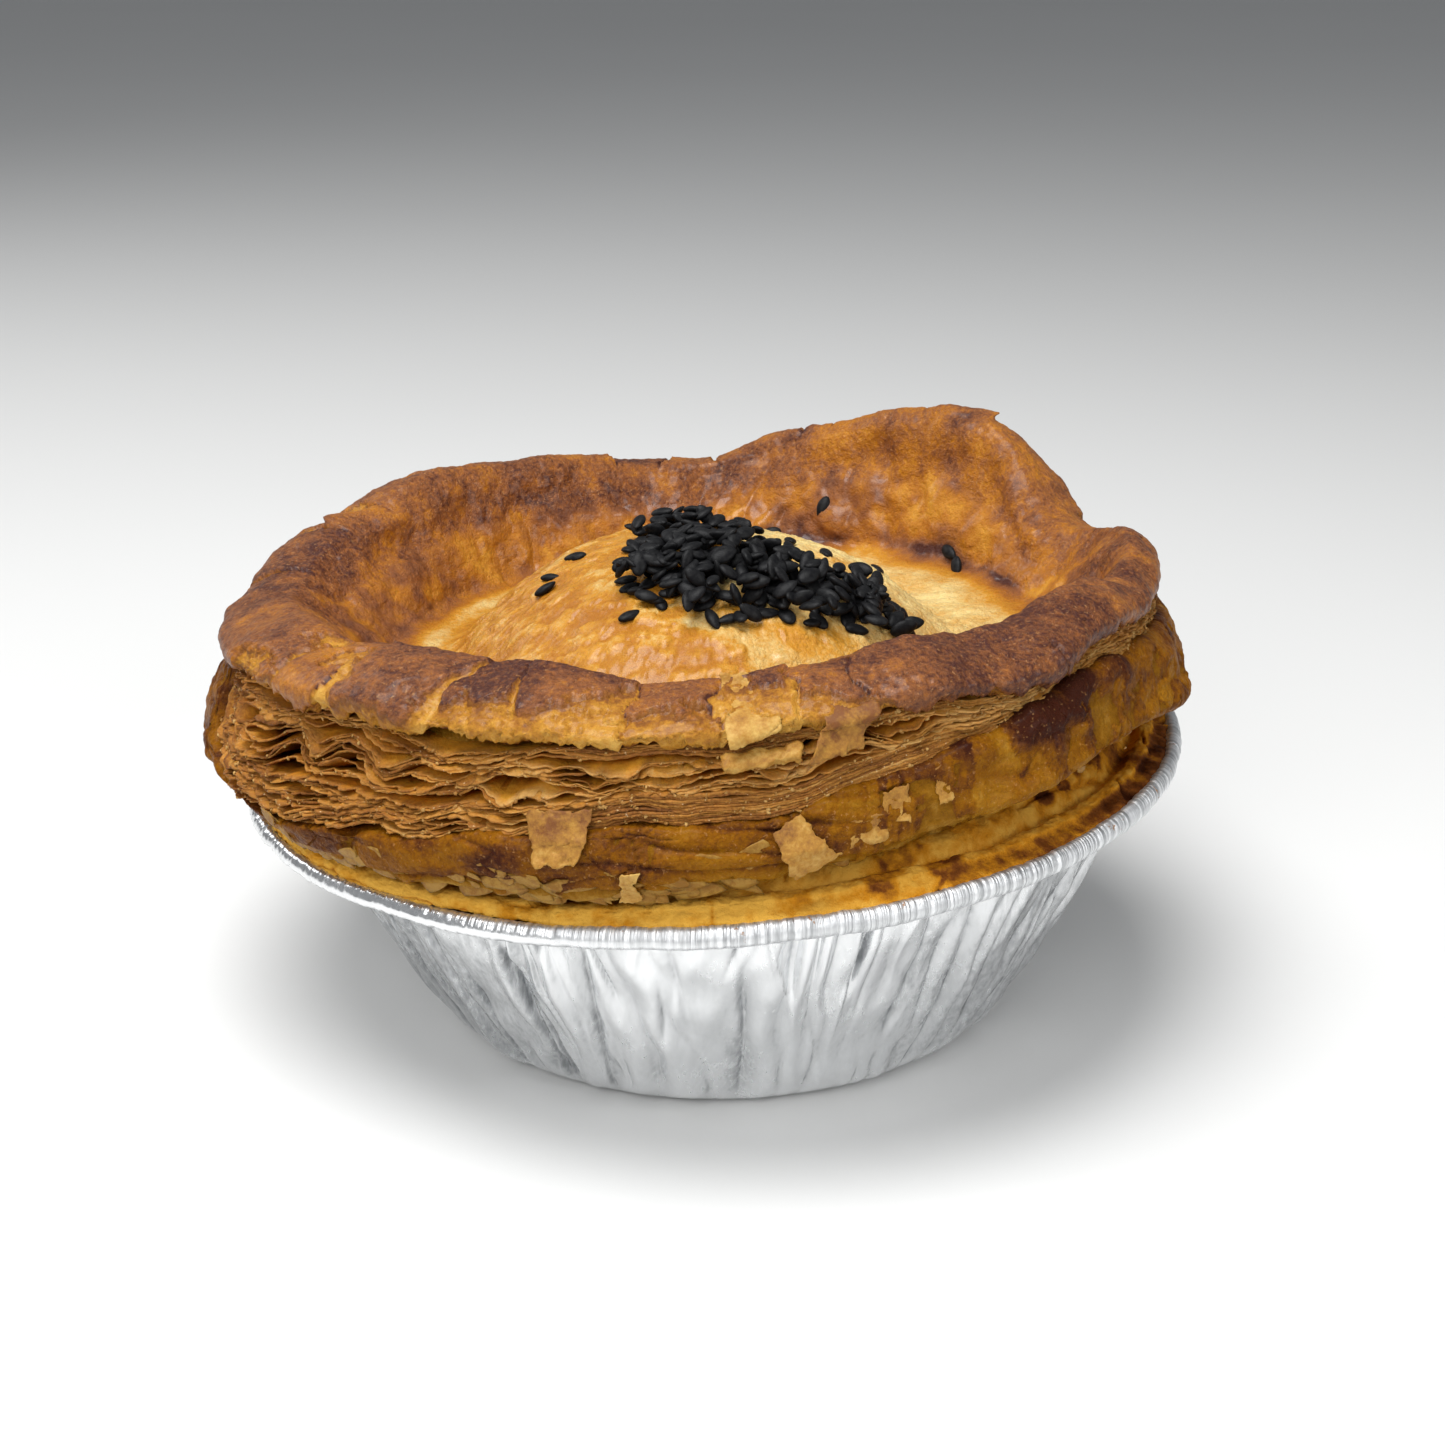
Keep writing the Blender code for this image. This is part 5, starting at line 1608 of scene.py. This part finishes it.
class PIE_OT_scales(bpy.types.Operator):
    """Scatters thin pale scales over the lower band and its hem."""

    bl_idname = "pie.scales"
    bl_label = "Scales"

    def execute(self, context):
        chance = np.random.default_rng(34)
        outline = Outline(720)
        places, ups, turns, scales = [], [], [], []
        for _ in range(SCALE_COUNT):
            front = chance.random() < 0.7
            angle = chance.uniform(-145.0, -84.0) if front else chance.uniform(-180.0, 180.0)
            number = int(angle % 360.0 * 2.0)
            spread = 4.6 if front else 1.0
            height = outline.hem_height[number] + chance.uniform(-0.1, 1.0) ** 2 * spread * MM
            radius = outline.side(np.full(outline.count, height))[number] + 0.12 * MM
            way = math.radians(angle)
            x = radius * math.cos(way)
            out = Vector((math.cos(way), math.sin(way), chance.normal(-0.2, 0.10)))
            places.append(Vector((x, radius * math.sin(way), height + LEAN * x)))
            ups.append((out + Vector(chance.normal(0.0, 0.06, 3))).normalized())
            turns.append(chance.normal(0.0, 0.25) + math.pi * chance.integers(0, 2))
            size = chance.uniform(0.3, 0.9) * (1.0 if front else 0.55)
            scales.append((chance.uniform(3.0, 6.5) * size, chance.uniform(1.6, 3.0) * size, 0.13))
        settings = {"Size": ("Float", 1.0 * MM), "Seed": ("Float", 8.0)}
        finish = flake_finish("scale", (0.33, 0.175, 0.028), (0.23, 0.100, 0.010))
        lay = (places, ups, turns, scales)
        made = scatter("pale_scales", *lay, crumb_shape, settings, finish, "puff_pastry")
        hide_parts("puff_lid")
        return {"FINISHED"}


# ---------------------------------------------------------------- the stage


# Soft round lights: name, place, height that each is aimed at, width in metres and power in watts
LIGHTS = [
    ("soft_box_over", (-0.10, -0.10, 0.60), 0.04, 0.40, 4.25),
    ("soft_box_front", (-0.25, -0.66, 0.46), 0.03, 0.40, 2.5),
    ("soft_box_right", (0.62, -0.40, 0.34), 0.03, 0.40, 1.7),
    ("soft_box_back", (-0.52, 0.36, 0.40), 0.04, 0.36, 0.8),
]
FLOOR_REACH = 6.0
FLOOR_GAP = 0.1 * MM
CAMERA_TARGET = (0.0, 0.0, 0.035)
CAMERA_DISTANCE = 0.300
CAMERA_ELEVATION = 21.07
CAMERA_LENS = 57.33
CAMERA_SHIFT = (0.0072, -0.0005)


class PIE_OT_stage(bpy.types.Operator):
    """Sets the pale floor, the soft light and the camera."""

    bl_idname = "pie.stage"
    bl_label = "Floor, light and camera"

    def execute(self, context):
        floor_mesh = bpy.data.meshes.new("floor")
        corners = [(x * FLOOR_REACH, y * FLOOR_REACH, 0.0) for x, y in ((-1, -1), (1, -1), (1, 1), (-1, 1))]
        floor_mesh.from_pydata(corners, [], [(0, 1, 2, 3)])
        finish = Finish("pale_floor", Roughness=0.75)
        tone = finish.blend(finish.noise(0.3, 2.0), (0.72, 0.72, 0.71), (0.75, 0.75, 0.74))
        floor_mesh.materials.append(finish.done(Base_Color=tone))
        floor = bpy.data.objects.new("floor", floor_mesh)
        context.scene.collection.objects.link(floor)
        floor.location.z = -FLOOR_GAP
        for light in LIGHTS:
            self.light(context, *light)
        world = bpy.data.worlds.new("studio")
        world.use_nodes = True
        sky = world.node_tree.nodes["Background"].inputs
        sky["Color"].default_value = (0.93, 0.96, 1.0, 1.0)
        sky["Strength"].default_value = 0.22
        context.scene.world = world
        context.scene.view_settings.view_transform = "Standard"
        self.camera(context)
        return {"FINISHED"}

    def light(self, context, name, place, aim, size, power):
        lamp = bpy.data.lights.new(name, "AREA")
        lamp.shape, lamp.size, lamp.energy = "DISK", size, power
        made = bpy.data.objects.new(name, lamp)
        context.scene.collection.objects.link(made)
        made.location = place
        towards = Vector((0.0, 0.0, aim)) - Vector(place)
        made.rotation_euler = towards.to_track_quat("-Z", "Y").to_euler()

    def camera(self, context):
        elevation = math.radians(CAMERA_ELEVATION)
        lens = bpy.data.cameras.new("camera")
        lens.sensor_width = 36.0
        lens.lens = CAMERA_LENS
        lens.shift_x, lens.shift_y = CAMERA_SHIFT
        lens.clip_start = 0.01
        made = bpy.data.objects.new("camera", lens)
        context.scene.collection.objects.link(made)
        back = Vector((0.0, -math.cos(elevation), math.sin(elevation)))
        made.location = Vector(CAMERA_TARGET) + back * CAMERA_DISTANCE
        made.rotation_euler = (-back).to_track_quat("-Z", "Y").to_euler()
        context.scene.camera = made


# ---------------------------------------------------------------- the add-on


class PIE_PT_panel(bpy.types.Panel):
    """Lists the pie's pieces, sizes and colours."""

    bl_idname = "PIE_PT_panel"
    bl_label = "Cauliflower cheese pie"
    bl_space_type = "VIEW_3D"
    bl_region_type = "UI"
    bl_category = "Pie"

    def draw(self, context):
        for operator in PIECES:
            self.layout.operator(operator.bl_idname)
        for group in (context.scene.pie_sizes, context.scene.pie_colours):
            box = self.layout.box()
            for name in type(group).__annotations__:
                box.prop(group, name)


PIECES = (
    PIE_OT_foil_tin,
    PIE_OT_pastry_base,
    PIE_OT_lid_core,
    PIE_OT_leaves,
    PIE_OT_folded_rim,
    PIE_OT_well,
    PIE_OT_standing_flakes,
    PIE_OT_seeds,
    PIE_OT_crumbs,
    PIE_OT_scales,
    PIE_OT_stage,
)
GROUPS = (PieSizes, PieColours)


def register():
    for made in (*GROUPS, *PIECES, PIE_PT_panel):
        bpy.utils.register_class(made)
    bpy.types.Scene.pie_sizes = PointerProperty(type=PieSizes)
    bpy.types.Scene.pie_colours = PointerProperty(type=PieColours)


def unregister():
    del bpy.types.Scene.pie_colours
    del bpy.types.Scene.pie_sizes
    for made in reversed((*GROUPS, *PIECES, PIE_PT_panel)):
        bpy.utils.unregister_class(made)


def main():
    register()
    for name in list(bpy.data.objects.keys()):
        if name in ("Cube", "Light", "Camera"):
            bpy.data.objects.remove(bpy.data.objects[name])
    for operator in PIECES:
        family, name = operator.bl_idname.split(".")
        getattr(getattr(bpy.ops, family), name)()


if __name__ == "__main__":
    main()
